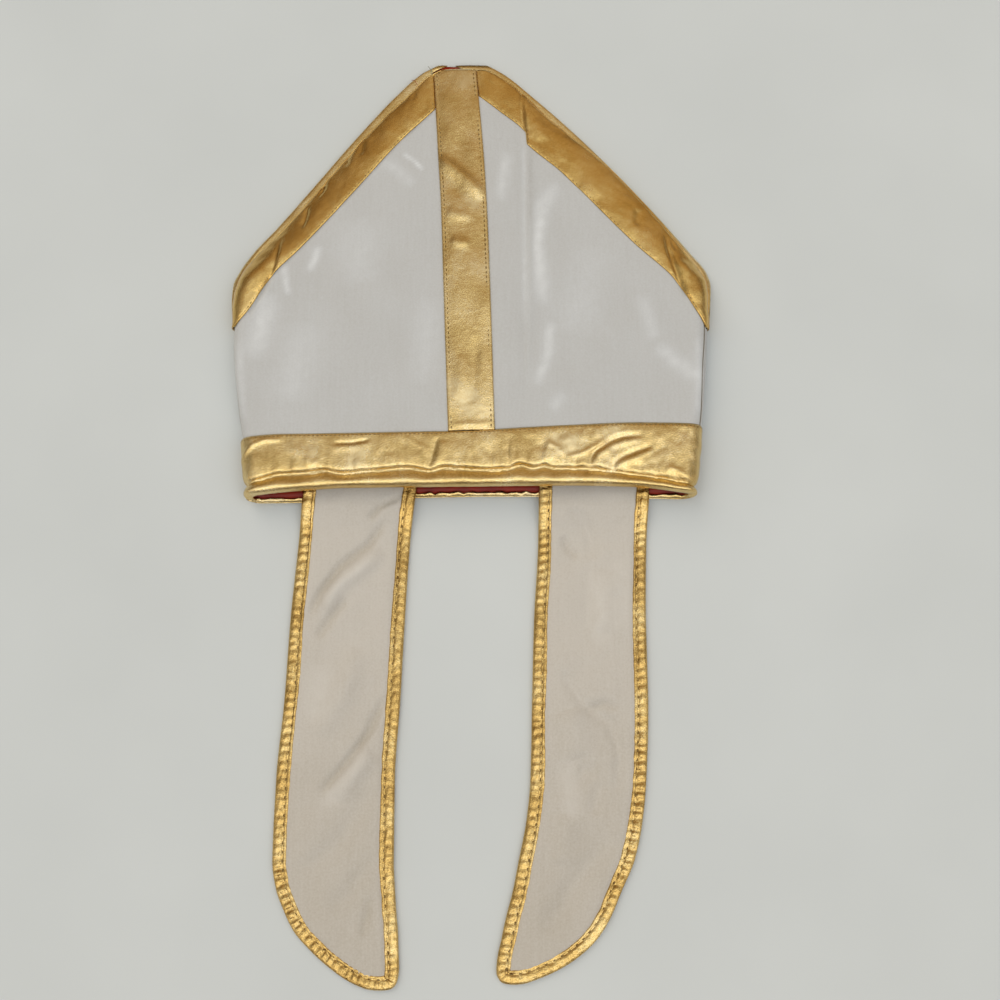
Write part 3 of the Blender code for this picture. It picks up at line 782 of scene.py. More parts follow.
def velour_material(name, base, pale, shade, deep_shade):
    """White polyester velour, knitted with a short upright pile.

    The pile makes the face matt with a soft sheen where it is seen from the side, and paler where
    it was brushed the other way. Its colour is painted darker in the bottoms of its creases and
    along the side groove, as painted shade, and paler beside some folds, as painted light. The
    tufts are drawn 1.3 mm apart, coarser than real ones, so that they show.
    """
    made, tree, shader = new_material(name)
    place = add_node(tree, "ShaderNodeTexCoord").outputs["Object"]
    pile = add_node(tree, "ShaderNodeAttribute", {"attribute_name": "pile"}).outputs["Fac"]
    blotch = noise(tree, place, 55, 2.0)
    tuft = noise(tree, place, 1.3, 2.0, 0.6)
    stretched = add_node(tree, "ShaderNodeMapping", {"Scale": (1.0, 0.06, 1.0)}, {"Vector": place})
    wale = noise(tree, stretched.outputs["Vector"], 1.6, 1.0)
    tone = pile
    for source, share in ((blotch, 0.06), (tuft, 0.30), (wale, 0.10)):
        mixed = add_node(tree, "ShaderNodeMath", {"operation": "MULTIPLY_ADD"})
        tree.links.new(source, mixed.inputs[0])
        mixed.inputs[1].default_value = share
        tree.links.new(tone, mixed.inputs[2])
        tone = mixed.outputs["Value"]
    tree.links.new(
        colour_ramp(tree, tone, [(0.0, deep_shade), (0.04, shade), (0.36, base), (1.0, pale)]),
        shader.inputs["Base Color"],
    )
    shader.inputs["Roughness"].default_value = 0.92
    shader.inputs["Specular IOR Level"].default_value = 0.2
    shader.inputs["Sheen Weight"].default_value = 0.35
    shader.inputs["Sheen Roughness"].default_value = 0.45
    shader.inputs["Sheen Tint"].default_value = (*linear("#FFFDF8"), 1)
    tree.links.new(bumped(tree, tuft, 0.35, 0.25), shader.inputs["Normal"])
    return made


def lame_material(name, stops, roughness, grain_pitch, grain_depth, crinkle_pitch, crinkle_depth):
    """Gold lame: a thin knit with metal foil pressed on it.

    It mirrors the room softly in gold. The foil cracks over the loops, which the eye sees as a
    fine sparkle, and small crinkles break the reflections up.
    """
    made, tree, shader = new_material(name)
    place = add_node(tree, "ShaderNodeTexCoord").outputs["Object"]
    grain = noise(tree, place, grain_pitch, 3.0, 0.7)
    crinkle = noise(tree, place, crinkle_pitch, 4.0, 0.62, 0.6)
    worn = noise(tree, place, 28, 4.0, 0.6)
    tone = add_node(tree, "ShaderNodeMix", {"data_type": "FLOAT"})
    tone.inputs[0].default_value = 0.45
    tree.links.new(worn, tone.inputs[2])
    tree.links.new(grain, tone.inputs[3])
    tree.links.new(colour_ramp(tree, tone.outputs[0], stops), shader.inputs["Base Color"])
    span = {"From Min": 0.3, "From Max": 0.7, "To Min": roughness - 0.06, "To Max": roughness + 0.1}
    rough = add_node(tree, "ShaderNodeMapRange", span, {"Value": worn})
    tree.links.new(rough.outputs["Result"], shader.inputs["Roughness"])
    shader.inputs["Metallic"].default_value = 1.0
    crinkled = bumped(tree, crinkle, 1.0, crinkle_depth)
    tree.links.new(bumped(tree, grain, 1.0, grain_depth, crinkled), shader.inputs["Normal"])
    return made


def satin_material(name, dark, light):
    """Red polyester satin lining, woven with long floats.

    The floats give it a soft lengthwise gloss, here with faint ribs drawn 0.9 mm apart.
    """
    made, tree, shader = new_material(name)
    place = add_node(tree, "ShaderNodeTexCoord").outputs["UV"]
    ribbed = {"Scale": per_metre(0.9) / (2 * np.pi), "Distortion": 1.5, "Detail": 2.0}
    rib = add_node(tree, "ShaderNodeTexWave", ribbed, {"Vector": place}).outputs["Fac"]
    cloud = noise(tree, place, 18, 2.0)
    tree.links.new(colour_ramp(tree, cloud, [(0.3, dark), (0.7, light)]), shader.inputs["Base Color"])
    shader.inputs["Roughness"].default_value = 0.45
    shader.inputs["Specular IOR Level"].default_value = 0.3
    tree.links.new(bumped(tree, rib, 0.3, 0.08), shader.inputs["Normal"])
    return made


def thread_material(name, dark, light):
    """Spun polyester sewing thread, which is matt with a slight twist that shows as light and dark."""
    made, tree, shader = new_material(name)
    place = add_node(tree, "ShaderNodeTexCoord").outputs["Object"]
    twist = noise(tree, place, 0.7, 1.0)
    tree.links.new(colour_ramp(tree, twist, [(0.3, dark), (0.7, light)]), shader.inputs["Base Color"])
    shader.inputs["Roughness"].default_value = 0.7
    return made


def floor_material(name, dark, light):
    """A painted board, matt and even, with the faintest mottling of the roller."""
    made, tree, shader = new_material(name)
    place = add_node(tree, "ShaderNodeTexCoord").outputs["Object"]
    mottle = noise(tree, place, 160, 3.0)
    tree.links.new(colour_ramp(tree, mottle, [(0.3, dark), (0.7, light)]), shader.inputs["Base Color"])
    shader.inputs["Roughness"].default_value = 0.8
    shader.inputs["Specular IOR Level"].default_value = 0.1
    return made


# Each finish: the function that makes it, its material's name, and that function's other values
MAKERS = {
    "white_velour": (velour_material, "white_velour", "#C2C4C4", "#E0E3E4", "#B3B3B0", "#807B70"),
    "warm_velour": (velour_material, "warm_white_velour", "#C2BDB4", "#DAD8D2", "#AAA293", "#857D6E"),
    "gold_lame": (
        lame_material, "gold_lame_foil", [(0.34, "#CFAE69"), (0.5, "#E8CA8A"), (0.66, "#F8E5B6")],
        0.21, 0.9, 0.26, 9.0, 0.10,
    ),
    # Painted shade: a darker, more orange copy of the gold lamé for the front slope strips, standing for the dim
    # warm room they mirror
    "shaded_slope_lame": (
        lame_material, "gold_lame_foil_slope", [(0.34, "#CDA45A"), (0.5, "#E2BC70"), (0.66, "#EFCF8C")],
        0.20, 0.9, 0.17, 14.0, 0.10,
    ),
    "binding_lame": (
        lame_material, "gold_lame_foil_creased", [(0.32, "#A98445"), (0.5, "#DAB66E"), (0.68, "#F3DCA0")],
        0.18, 0.9, 0.26, 3.4, 0.26,
    ),
    "red_satin": (satin_material, "red_satin_lining", "#661004", "#9C2A10"),
    "gold_thread": (thread_material, "old_gold_sewing_thread", "#695328", "#866A34"),
    "loose_thread": (thread_material, "grey_green_sewing_thread", "#696D58", "#868A70"),
}
FINISHES = {}


def finish_of(name):
    """The named material, made the first time it is asked for."""
    if name not in FINISHES:
        maker, *values = MAKERS[name]
        FINISHES[name] = maker(*values)
    return FINISHES[name]


def front_swell(x, y):
    """The front's slow swells, in millimetres along the normal."""
    return 0.22 * random_swell(x, y, 70, 3) + 0.07 * random_swell(x, y, 22, 4)


def front_relief(across, height):
    """The front's creases and slow swells, in millimetres along the normal."""
    at = FRONT.point(across, height)
    x, y = at[..., 0], at[..., 1]
    return creased(x, y, FRONT_CREASES) + front_swell(x, y)


# The groove where the two sheets meet shows on the right side, between the slope and the band: the
# place across where it runs, and half its width there
SIDE_SEAM = 0.82
SIDE_SEAM_WIDTH = 0.03


def side_seam(across, height):
    """1 in the middle of the right side's groove and 0 off it: a bell across it, fading at its ends."""
    bell = np.exp(-(((across - SIDE_SEAM) / SIDE_SEAM_WIDTH) ** 2))
    return bell * smooth(22, 28, height) * smooth(108, 100, height)


def build_panels(cell):
    """Each panel: rows from above the rim to the peak, columns across, at depth 0 and its thickness.

    The front's outer face also has its creases and swells, sinks under the band and dips into the
    side groove, and its pile is marked along them, with painted shade in the creases and the groove
    and painted light beside the long crease. The back is plain and has a wider mesh.
    """
    for sheet in SHEETS:
        step = cell if sheet.front else 2 * cell
        across = sheet.columns(int(290 / step), 10)
        if sheet.front:
            across = np.sort(np.append(across, SIDE_SEAM + SIDE_SEAM_WIDTH * np.linspace(-2.4, 2.4, 9)))
        foot = sheet.line("rim", across) + PANEL_ABOVE_RIM
        share = np.linspace(0, 1, int(300 / step))[:, None]
        height = foot + (sheet.last - 0.8 - foot) * share
        across = np.broadcast_to(across, height.shape)
        relief = np.zeros(height.shape)
        if sheet.front:
            under_band = smooth(3, 7, sheet.line("top", across) - height)
            groove = side_seam(across, height)
            relief = front_relief(across, height) - 1.1 * under_band - 0.7 * groove
        outer = sheet.layer(across, height, relief)
        inner = sheet.layer(across, height, np.maximum(relief, -1.1) * 0.5 - VELOUR)
        x, y = outer[..., 0], outer[..., 1]
        pile = brushed(x, y, FRONT_MARKS if sheet.front else [], 11)
        if sheet.front:
            # Painted shade: the pile is drawn darker in the bottoms and low sides of the creases, and along the side
            # groove
            pile = pile + 0.06 * np.clip(creased(x, y, FRONT_CREASES), -1, 0) - 0.9 * groove
        piece = double_cloth(
            f"{sheet.name}_velour", outer, inner, finish_of("white_velour"), sheet_uv(outer), pile
        )
        rests = ["back_satin"] if sheet.front else ["back_slope_strip_left", "back_slope_strip_right"]
        declare(piece, f"{sheet.name}_panel", "white_velour", *flat_of(outer), "laid", rests)


def build_linings(cell):
    """Each lining: the panel's sheet at the lining's depths, with slow ripples, short of the edges."""
    for sheet in SHEETS:
        across = sheet.columns(int(290 / (2.5 * cell)), 8, 0.985)
        foot = sheet.line("rim", across) + LINING_ABOVE_RIM + (RIM_LIFT if sheet.front else 0)
        share = np.linspace(0, 1, int(300 / (2.5 * cell)))[:, None]
        height = foot + (sheet.last - 1.0 - foot) * share
        across = np.broadcast_to(across, height.shape)
        at = sheet.point(across, height)
        ripple = 0.18 * random_swell(at[..., 0], 0.4 * at[..., 1], 12, 21 + sheet.up)
        outer = sheet.layer(across, height, LINING_OUTER + 0.25)
        inner = sheet.layer(across, height, LINING_OUTER - 0.35 + ripple)
        piece = double_cloth(f"{sheet.name}_satin", inner, outer, finish_of("red_satin"), sheet_uv(outer))
        declare(piece, f"{sheet.name}_lining", "red_satin", *flat_of(outer), "laid", [f"{sheet.name}_velour"])


# How far past the velour's edge the front's slope strips start to roll over
STRIP_OVERHANG = Table(
    "height left right",
    [(98, 0.0, 0.0), (112, -0.4, -0.6), (124, 0.6, -0.4), (138, 3.7, 0.0), (160, 4.9, 0.2), (200, 4.7, 0.0),
     (240, 3.6, -0.4), (262, 1.8, -0.8), (282, -1.0, -1.6)],
)


def strip_runs(sheet, side, height):
    """Millimetres of cloth from the sheet's middle to a slope strip's inner border and to its edge."""
    border = EDGING.at(side, height)
    left, right = STRIPE.at("left", height), STRIPE.at("right", height)
    left = np.maximum(left, sheet.sections.at("left", height) + 0.6)
    border = np.minimum(border, left - 0.1) if side == "left" else np.maximum(border, right + 0.1)
    edge = sheet.run(1.0, height) + (STRIP_OVERHANG.at(side, height) if sheet.front else 0)
    return np.minimum(sheet.run(sheet.place(border, height), height), edge - 1.2), edge


# A slope strip's section past the cloth's edge: how far out, and the depth, as it folds inwards. The
# front's rolls over and down towards the back's, and the back's folds flat
EDGE_TURN = {
    "front": [(0.3, 1.2), (0.7, 0.1), (1.0, -0.9), (1.4, -0.9), (1.7, 0.1), (2.0, 0.6), (2.4, 0.65), (2.8, 0.2),
              (3.1, -0.5), (3.1, -2.0), (2.9, -4.0), (1.5, -5.0), (-2.0, -5.0), (-6.0, -4.4)],
    "back": [(0.5, 1.32), (1.0, 0.95), (1.25, 0.3), (1.3, -0.5), (1.15, -1.4), (0.8, -2.3), (0.2, -2.9),
             (-1.2, -3.3), (-3.0, -3.4), (-5.0, -3.5), (-8.0, -3.5), (-12.0, -3.4), (-14.0, -3.0)],
}


def build_slope_strips(cell):
    """Each slope strip: across it from its border to the edge, round the edge and back inside."""
    for sheet in SHEETS:
        for side in ("left", "right"):
            sign = 1 if side == "right" else -1
            step = cell * (0.8 if sheet.front else 1.6)
            height = np.linspace(93.0, sheet.last - 0.4, int(190 / step))[:, None]
            start, edge = strip_runs(sheet, side, height)
            flat = np.linspace(0, 1, int(34 / step))
            runs = [start, start + 0.2] + [start + 0.6 + (edge - start - 0.6) * t for t in flat]
            levels = [0.45, 1.1, *(TRIM_OUTER + 0.35 * np.sin(np.pi * flat) ** 0.6)]
            depths = [np.full(height.shape, level) for level in levels]
            open_edge = smooth(100, 122, height)
            peak_leg = 1 + (-0.5 if side == "left" else 0.7) * smooth(276, 282, height) * (not sheet.front)
            for out, depth in EDGE_TURN[sheet.name]:
                runs.append(edge + open_edge * out * (peak_leg if out < 0 else 1) - (1 - open_edge) * 0.1)
                depths.append(open_edge * depth + (1 - open_edge) * 0.9)
            run, depth = np.concatenate(runs, axis=1), np.concatenate(depths, axis=1)
            height = np.broadcast_to(height, run.shape)
            across = sign * sheet.reached(run, height)
            at = sheet.point(across, height)
            x, y = at[..., 0], at[..., 1]
            facing = smooth(-1.5, 1.0, depth)
            relief = np.zeros(run.shape)
            if sheet.front:
                relief = front_relief(across, height)
                relief = relief + 0.10 * random_swell(x, y, 14, 31) + 0.05 * random_swell(x, y, 6, 32)
                hole = np.exp(-(((run - start - 1.4) / 0.7) ** 2)) * (1 + np.cos(2 * np.pi * y / STITCH_PITCH))
                outer_depth = depth + (relief - 0.18 * hole) * facing
            else:
                wave = 0.35 * random_swell(x, y, 16, 34) + 0.18 * random_swell(x, y, 7, 35)
                outer_depth = depth - 0.3 * np.abs(wave) * (1 - facing)
            outer = sheet.layer(across, height, outer_depth)
            held_in = np.minimum(run, edge + (2.3 if sheet.front else 0.45) * smooth(100, 122, height))
            inner = sheet.layer(sign * sheet.reached(held_in, height), height, 0.72 * depth - 0.1 + relief * facing)
            if not sheet.front:
                outer[..., 2] = np.maximum(outer[..., 2], 0.02)
                inner[..., 2] = np.maximum(inner[..., 2], 0.3)
            # The front strips take the darker, more orange lamé copy, as painted shade
            foil = finish_of("shaded_slope_lame" if sheet.front else "gold_lame")
            piece = double_cloth(f"{sheet.name}_slope_strip_{side}", outer, inner, foil, sheet_uv(outer))
            rests = [f"{sheet.name}_velour"]
            declare(piece, f"{sheet.name}_edging_{side}", "gold_lame", *flat_of(outer), "folded", rests)


def stripe_point(sheet, share, height, depth):
    """A point on the middle strip: share runs from 0 at its left side to 1 at its right side."""
    left = np.maximum(STRIPE.at("left", height), sheet.sections.at("left", height) + 0.6)
    right = np.minimum(STRIPE.at("right", height), sheet.sections.at("right", height) - 0.6)
    x = left + (right - left) * share
    across = sheet.place(x, height)
    return sheet.layer(across, height, depth)


def build_middle_strips(cell):
    """Each middle strip: rows up from the band, columns across, puckered by its two rows of stitches."""
    for sheet in SHEETS:
        step = cell * (0.75 if sheet.front else 1.5)
        share = np.concatenate([[0, 0.004, 0.012], np.linspace(0.03, 0.97, int(30 / step)), [0.988, 0.996, 1]])
        edge = np.minimum(share, 1 - share)
        across = sheet.place(np.linspace(-15, 15.7, len(share)), 20.0)
        foot = sheet.line("top", across) + 0.1
        climb = np.linspace(0, 1, int(265 / step))[:, None]
        height = foot + (sheet.last + 0.6 - foot) * climb
        share = np.broadcast_to(share, height.shape)
        from_side = np.broadcast_to(edge, height.shape) * STRIPE_WIDTH
        depth = 0.45 + (TRIM_OUTER - 0.45) * np.clip(from_side / 0.7, 0, 1) ** 0.5
        depth = depth + 0.25 * smooth(2.2, 8.0, from_side) + 0.12 * np.exp(-(((from_side - 1.1) / 0.7) ** 2))
        pucker = np.exp(-(((from_side - STRIPE_STITCH_INSET) / 0.75) ** 2))
        depth = depth - 0.26 * pucker * (0.55 + 0.45 * np.cos(2 * np.pi * height / STITCH_PITCH))
        if sheet.front:
            at = stripe_point(sheet, share, height, 0.0)
            x, y = at[..., 0], at[..., 1]
            inside = smooth(0.0, 3.0, from_side)
            depth = depth + inside * creased(x, y, STRIPE_CREASES)
            depth = depth + inside * (0.12 * random_swell(x, 0.6 * y, 17, 41) + 0.035 * random_swell(x, y, 5, 42))
            depth = np.maximum(depth, 0.35) + front_swell(x, y)
        else:
            depth = np.minimum(depth, TRIM_OUTER - 0.02)
        top = smooth(sheet.last - 1.0, sheet.last + 0.6, height)
        outer = stripe_point(sheet, share, height, depth - top * 0.8)
        inner = stripe_point(sheet, share, height, 0.35)
        piece = double_cloth(f"{sheet.name}_middle_strip", outer, inner, finish_of("gold_lame"), sheet_uv(outer))
        declare(piece, f"{sheet.name}_stripe", "gold_lame", *flat_of(outer), "laid", [f"{sheet.name}_velour"])


def band_depth(sheet, across, height, above, share):
    """The band's relief: its section and, on the front, creases, the seam's puckers and crumples."""
    at = sheet.point(across, height)
    x, y = at[..., 0], at[..., 1]
    table = BAND_ABOVE if above else BAND_BELOW
    depth = GAP + 0.1 + table.at("depth", share)
    if not sheet.front:
        depth = np.minimum(depth, TRIM_OUTER - 0.02)
        side = smooth(0.75, 0.95, np.abs(across))
        return depth + side * 0.15 * random_swell(x, y, 12, 57)
    seam = sheet.line("seam", across)
    from_seam = np.abs(y - seam)
    gather = random_swell(x, 0 * y, 11, 51)
    fine = random_swell(x, 0 * y, 4.5, 52)
    if above:
        depth = depth + creased(x, y, BAND_CREASES)
        fade = np.exp(-from_seam / 7) * (1 - np.exp(-from_seam / 1.2))
        depth = depth + fade * (0.42 * gather + 0.14 * fine)
        crumple = 0.5 + 0.5 * smooth(0, 60, x)
        quiet = smooth(0, 0.12, share)
        depth = depth + quiet * crumple * (
            0.16 * random_swell(x, y, 19, 53) + 0.10 * random_swell(x, y, 8, 54) + 0.03 * random_swell(x, y, 3.4, 55)
        )
        hem = np.exp(-((((sheet.line("top", across) - y) - 1.6) / 0.8) ** 2))
        depth = depth - 0.22 * hem * (0.6 + 0.4 * np.cos(2 * np.pi * x / 2.9))
    else:
        fade = np.exp(-from_seam / 3.0)
        depth = depth + fade * (0.12 * gather + 0.10 * fine) + 0.08 * random_swell(x, 2 * y, 14, 56)
    return depth


def build_head_band(cell):
    """The band's section carried round the front sheet and back along the back one, as one loop.

    The section runs down from the upper edge to the seam, over the roll to the rim, round it and
    up inside, and back on the inner face.
    """
    columns = []
    for sheet, flat in ((FRONT, int(281 / (0.75 * cell))), (BACK, int(281 / (2 * cell)))):
        places = sheet.columns(flat, 14, 0.9985)
        columns.append(places if sheet is FRONT else places[::-1])
    down = np.linspace(0, 1, int(26 / (0.6 * cell)))
    roll = np.linspace(0, 1, int(14 / (0.5 * cell)))[1:]
    grid = []
    for sheet, across in zip(SHEETS, columns):
        top, seam, rim = (sheet.line(name, across) for name in ("top", "seam", "rim"))
        rim = rim + RIM_LIFT * smooth(1.0, 0.85, np.abs(across)) * sheet.front
        rows = []
        for share in down:
            height = top + (seam - top) * share
            rows.append(sheet.layer(across, height, band_depth(sheet, across, height, True, share)))
        for share in roll:
            height = seam + (rim - seam) * share
            rows.append(sheet.layer(across, height, band_depth(sheet, across, height, False, share)))
        x = sheet.point(across, 0)[..., 0]
        free = 0.3 if sheet.front else 0.9
        for above, depth in BAND_TURN[sheet.name]:
            ragged = 0.45 * random_swell(x, 3 * above, 8, 61) + 0.25 * random_swell(x, above, 3.5, 62)
            rows.append(sheet.layer(across, rim + above + free * ragged * (above > 1), depth - 0.5 * free * ragged))
        for above, depth in BAND_INNER[sheet.name]:
            rows.append(sheet.layer(across, rim + above, depth))
        for share in (0.7, 0.35, 0.03):
            rows.append(sheet.layer(across, rim + (top - rim) * (1 - share), 0.15))
        grid.append(np.array(rows))
    points = np.concatenate(grid, axis=1)
    points[..., 2] = np.maximum(points[..., 2], 0.0)
    rows, around = points.shape[:2]
    quads = grid_quads(rows, around, closed_rows=True, closed_columns=True)
    middle = points.mean(axis=0, keepdims=True)
    normal = np.cross(np.roll(points, -1, axis=1) - points, np.roll(points, -1, axis=0) - points)
    if (normal * (points - middle)).sum() < 0:
        quads = quads[:, ::-1]
    length = run_along(points[0])
    uv = loop_uv(length[None, :], run_along(points[:, 0])[:, None])
    piece = make_piece("gathered_head_band", points.reshape(-1, 3), quads, finish_of("gold_lame"), uv)
    area = cloth_area(points[: len(down) + len(roll) + len(BAND_TURN["front"])])
    round_it = float(length[-1] * METRE)
    flat = (round_it, float(area / round_it * BAND_ALLOWANCE))
    declare(piece, "head_band", "gold_lame", flat, area, "folded", ["front_velour", "back_velour"])


def build_lappets(cell):
    """Each lappet's velour: rows down it, sagging between the bindings and bent by its creases."""
    for side, table in LAPPETS.items():
        downs = np.linspace(8, table.rows[-1, 0] - LAPPET_INSET, int(322 / cell))
        left, right = table.at("left", downs), table.at("right", downs)
        slant_left = np.hypot(1, np.gradient(left, downs))
        slant_right = np.hypot(1, np.gradient(right, downs))
        left = left + LAPPET_INSET * slant_left
        right = np.maximum(right - LAPPET_INSET * slant_right, left + 0.5)
        share = np.linspace(0, 1, int(74 / cell))
        x = left[:, None] + (right - left)[:, None] * share
        y = np.repeat(-downs[:, None], len(share), axis=1)
        from_left = (x - left[:, None]) / slant_left[:, None]
        from_right = (right[:, None] - x) / slant_right[:, None]
        inside = np.minimum(np.minimum(from_left, from_right), downs[-1] + y)
        free = smooth(BINDING_WIDTH - LAPPET_INSET - 1, BINDING_WIDTH + 8, inside)
        puff = smooth(BINDING_WIDTH - LAPPET_INSET - 2.5, BINDING_WIDTH - LAPPET_INSET + 2.0, inside)
        out = smooth(20, 48, -y)
        level = LAPPET_DROP.at("level", -y)
        relief = creased(x, y, LAPPET_CREASES[side])
        swell = 0.35 * random_swell(x, y, 38, 71 if side == "left" else 72) + 0.10 * random_swell(x, y, 15, 73)
        z = level + puff * (3.2 * relief * (0.6 + 0.4 * out) + 0.2 + 1.5 * out) + free * swell
        z = np.maximum(z, LAPPET_LOWEST)
        middle = np.stack([x, y, z], axis=-1)
        half = np.array([0, 0, LAPPET / 2])
        # Painted light along the folds and painted shade in the bottoms of the sharp creases; the pile is also drawn
        # darker towards the foot
        sharp = [crease for crease in LAPPET_CREASES[side] if crease.width < 4]
        pile = 0.6 * brushed(x, y, LAPPET_FOLD_HIGHLIGHTS[side], 81) + 0.13 * np.clip(creased(x, y, sharp), -1.2, 0)
        pile = pile + 0.15 - 0.13 * smooth(60, 300, -y)
        outer = middle + half
        piece = double_cloth(
            f"{side}_lappet_velour", outer, middle - half, finish_of("warm_velour"), sheet_uv(outer), pile
        )
        declare(piece, f"{side}_lappet", "white_velour", *flat_of(outer), "laid", [f"{side}_lappet_edge"])


def lappet_path(side, step):
    """Points at equal steps down a lappet's left side, round its foot and up its right side."""
    table = LAPPETS[side]
    downs = np.linspace(8, table.rows[-1, 0], 600)
    left = np.stack([table.at("left", downs), -downs], axis=1)
    right = np.stack([table.at("right", downs), -downs], axis=1)[::-1]
    path = softened(np.concatenate([left, right]), 3)
    run = run_along(path)
    even = np.arange(0, run[-1], step)
    path = at_runs(even, run, path)
    foot = np.argmin(path[:, 1])
    window = np.exp(-(((np.arange(len(path)) - foot) * step / 10.0) ** 2))[:, None]
    return even, path + window * (softened(path, int(14 / step)) - path)


def path_inward(path):
    """Unit vectors across the path, towards the lappet's middle."""
    along = np.gradient(path, axis=0)
    along /= np.linalg.norm(along, axis=1, keepdims=True)
    return np.stack([-along[:, 1], along[:, 0]], axis=1)


def set_in(path, inward, inset):
    """The path moved in, with points that a sharp bend crowds drawn evenly between the rest."""
    points = path + inward * inset
    away = np.linalg.norm(points[:, None] - path[None], axis=2).min(axis=1)
    free = away >= 0.97 * abs(inset) - 0.02
    order = np.arange(len(points))
    return at_runs(order, order[free], points[free])


# A binding's section from its upper inner edge, over the lappet's edge and under: how far in
# from the edge, the height above the lappet's middle, and how much of the puckers it takes
BINDING_SECTION = [
    (9.0, 0.75, 0.0), (8.9, 1.35, 0.1), (8.6, 1.72, 0.2), (8.0, 1.92, 0.4), (7.4, 1.86, 0.5), (6.9, 1.55, 0.4),
    (6.4, 1.30, 0.4), (5.9, 1.55, 0.8), (5.3, 1.88, 1.0), (4.6, 2.02, 1.0), (3.8, 2.06, 1.0), (3.0, 2.02, 1.0),
    (2.2, 1.88, 0.8), (1.4, 1.62, 0.6), (0.8, 1.30, 0.4), (0.35, 0.85, 0.2), (0.08, 0.35, 0.1), (0.0, -0.2, 0.0),
    (0.15, -0.8, 0.0), (0.6, -1.35, 0.0), (1.5, -1.75, 0.0), (4.0, -1.85, 0.0), (8.6, -1.85, 0.0), (9.0, -1.5, 0.0),
    (8.6, -0.85, 0.0), (2.0, -0.85, 0.0), (1.2, 0.0, 0.0), (2.0, 0.85, 0.0), (8.0, 0.80, 0.0),
]
BINDING_GROUND = -1.85
# Further in than this, the binding's inner border wanders, and this many of its points face outwards
BINDING_FREE = 7
BINDING_FACE = 24


def lappet_level(place):
    """The height of a lappet's middle at places on it."""
    return LAPPET_DROP.at("level", np.clip(-place[:, 1], 8, 332))


def binding_ladder(side, run, inset):
    """Cross creases and dimples of a binding, as a height: a sharpened wave along its length."""
    table = LADDERS[side]
    reached = np.clip(run, 0, table.rows[-1, 0])
    strength = table.at("strength", reached)
    phase = np.cumsum(2 * np.pi / table.at("pitch", reached)) * (run[1] - run[0])
    jitter = 0.7 * random_swell(run, 0 * run, 14, 91 if side == "left" else 92)
    wave = np.cos(phase[:, None] + jitter[:, None] + 0.10 * inset[None, :])
    sharp = -np.exp(-3.0 * (1 + wave)) + 0.3 * wave
    small = 0.176 * random_swell(run[:, None], inset[None, :] * 1.6, 4.2, 93)
    large = 0.12 * random_swell(run[:, None], inset[None, :] * 0.5, 24, 94)
    return 1.1 * strength[:, None] * sharp + small + large


def build_bindings(cell):
    """Each binding: its closed section carried along the lappet's edge."""
    for side in LAPPETS:
        run, path = lappet_path(side, 0.85 * cell)
        inward = path_inward(path)
        ladder = binding_ladder(side, run, np.array([row[0] for row in BINDING_SECTION]))
        wander = 0.25 * random_swell(run, 0, 60, 95) + 0.12 * random_swell(run, 0, 9, 96)
        rows = []
        for (inset, rise, share), puckers in zip(BINDING_SECTION, ladder.T):
            place = set_in(path, inward, inset)
            if inset > BINDING_FREE:
                place = place + inward * wander[:, None]
            level = lappet_level(place)
            height = np.maximum(level + rise + share * puckers, level + BINDING_GROUND)
            rows.append(np.concatenate([place, height[:, None]], axis=1))
        points = np.array(rows).transpose(1, 0, 2)
        count, around = points.shape[:2]
        quads = grid_quads(count, around, closed_columns=True)
        caps = [np.arange(around)[::-1], (count - 1) * around + np.arange(around)]
        middle = points.mean(axis=1, keepdims=True)
        normal = np.cross(np.roll(points, -1, axis=1)[:-1] - points[:-1], points[1:] - points[:-1])
        if (normal * (points - middle)[:-1]).sum() < 0:
            quads = quads[:, ::-1]
            caps = [cap[::-1] for cap in caps]
        uv = loop_uv(run_along(points[0])[None, :], run[:, None])
        half = around // 2
        ends = [
            [cap[i], cap[i + 1], cap[around - 2 - i], cap[around - 1 - i]] for cap in caps for i in range(half - 1)
        ]
        quads = np.concatenate([quads, np.array(ends)[:, ::-1]])
        piece = make_piece(f"{side}_lappet_edge", points.reshape(-1, 3), quads, finish_of("binding_lame"), uv)
        outer = points[:, :BINDING_FACE]
        width = float(np.linalg.norm(np.diff(outer, axis=1), axis=-1).sum(axis=1).mean() * METRE)
        flat = (width, float(run[-1] * METRE))
        rests = [f"{side}_lappet_velour"]
        declare(piece, f"{side}_lappet_binding", "gold_lame", flat, cloth_area(outer), "folded", rests)


def bead(length, width, rise):
    """A stitch's shape: a six-sided spindle of five rings, pointed at both ends."""
    along = np.array([-0.5, -0.34, 0.0, 0.34, 0.5]) * length
    thick = np.array([0.12, 0.8, 1.0, 0.8, 0.12]) / 2
    turn = np.linspace(0, 2 * np.pi, 6, endpoint=False)
    ring = np.stack([np.cos(turn) * width, np.sin(turn) * rise], axis=1)
    points = np.zeros((len(along), len(turn), 3))
    points[..., 0] = along[:, None]
    points[..., 1:] = thick[:, None, None] * ring
    return points.reshape(-1, 3), grid_quads(len(along), len(turn), closed_columns=True)


def spaced(points, pitch, start=1.0):
    """Places at an even pitch along a line of points, and the line's direction there."""
    run = run_along(points)
    even = np.arange(start, run[-1] - 0.5, pitch)
    return at_runs(even, run, points), at_runs(even + 0.2, run, points) - at_runs(even - 0.2, run, points)


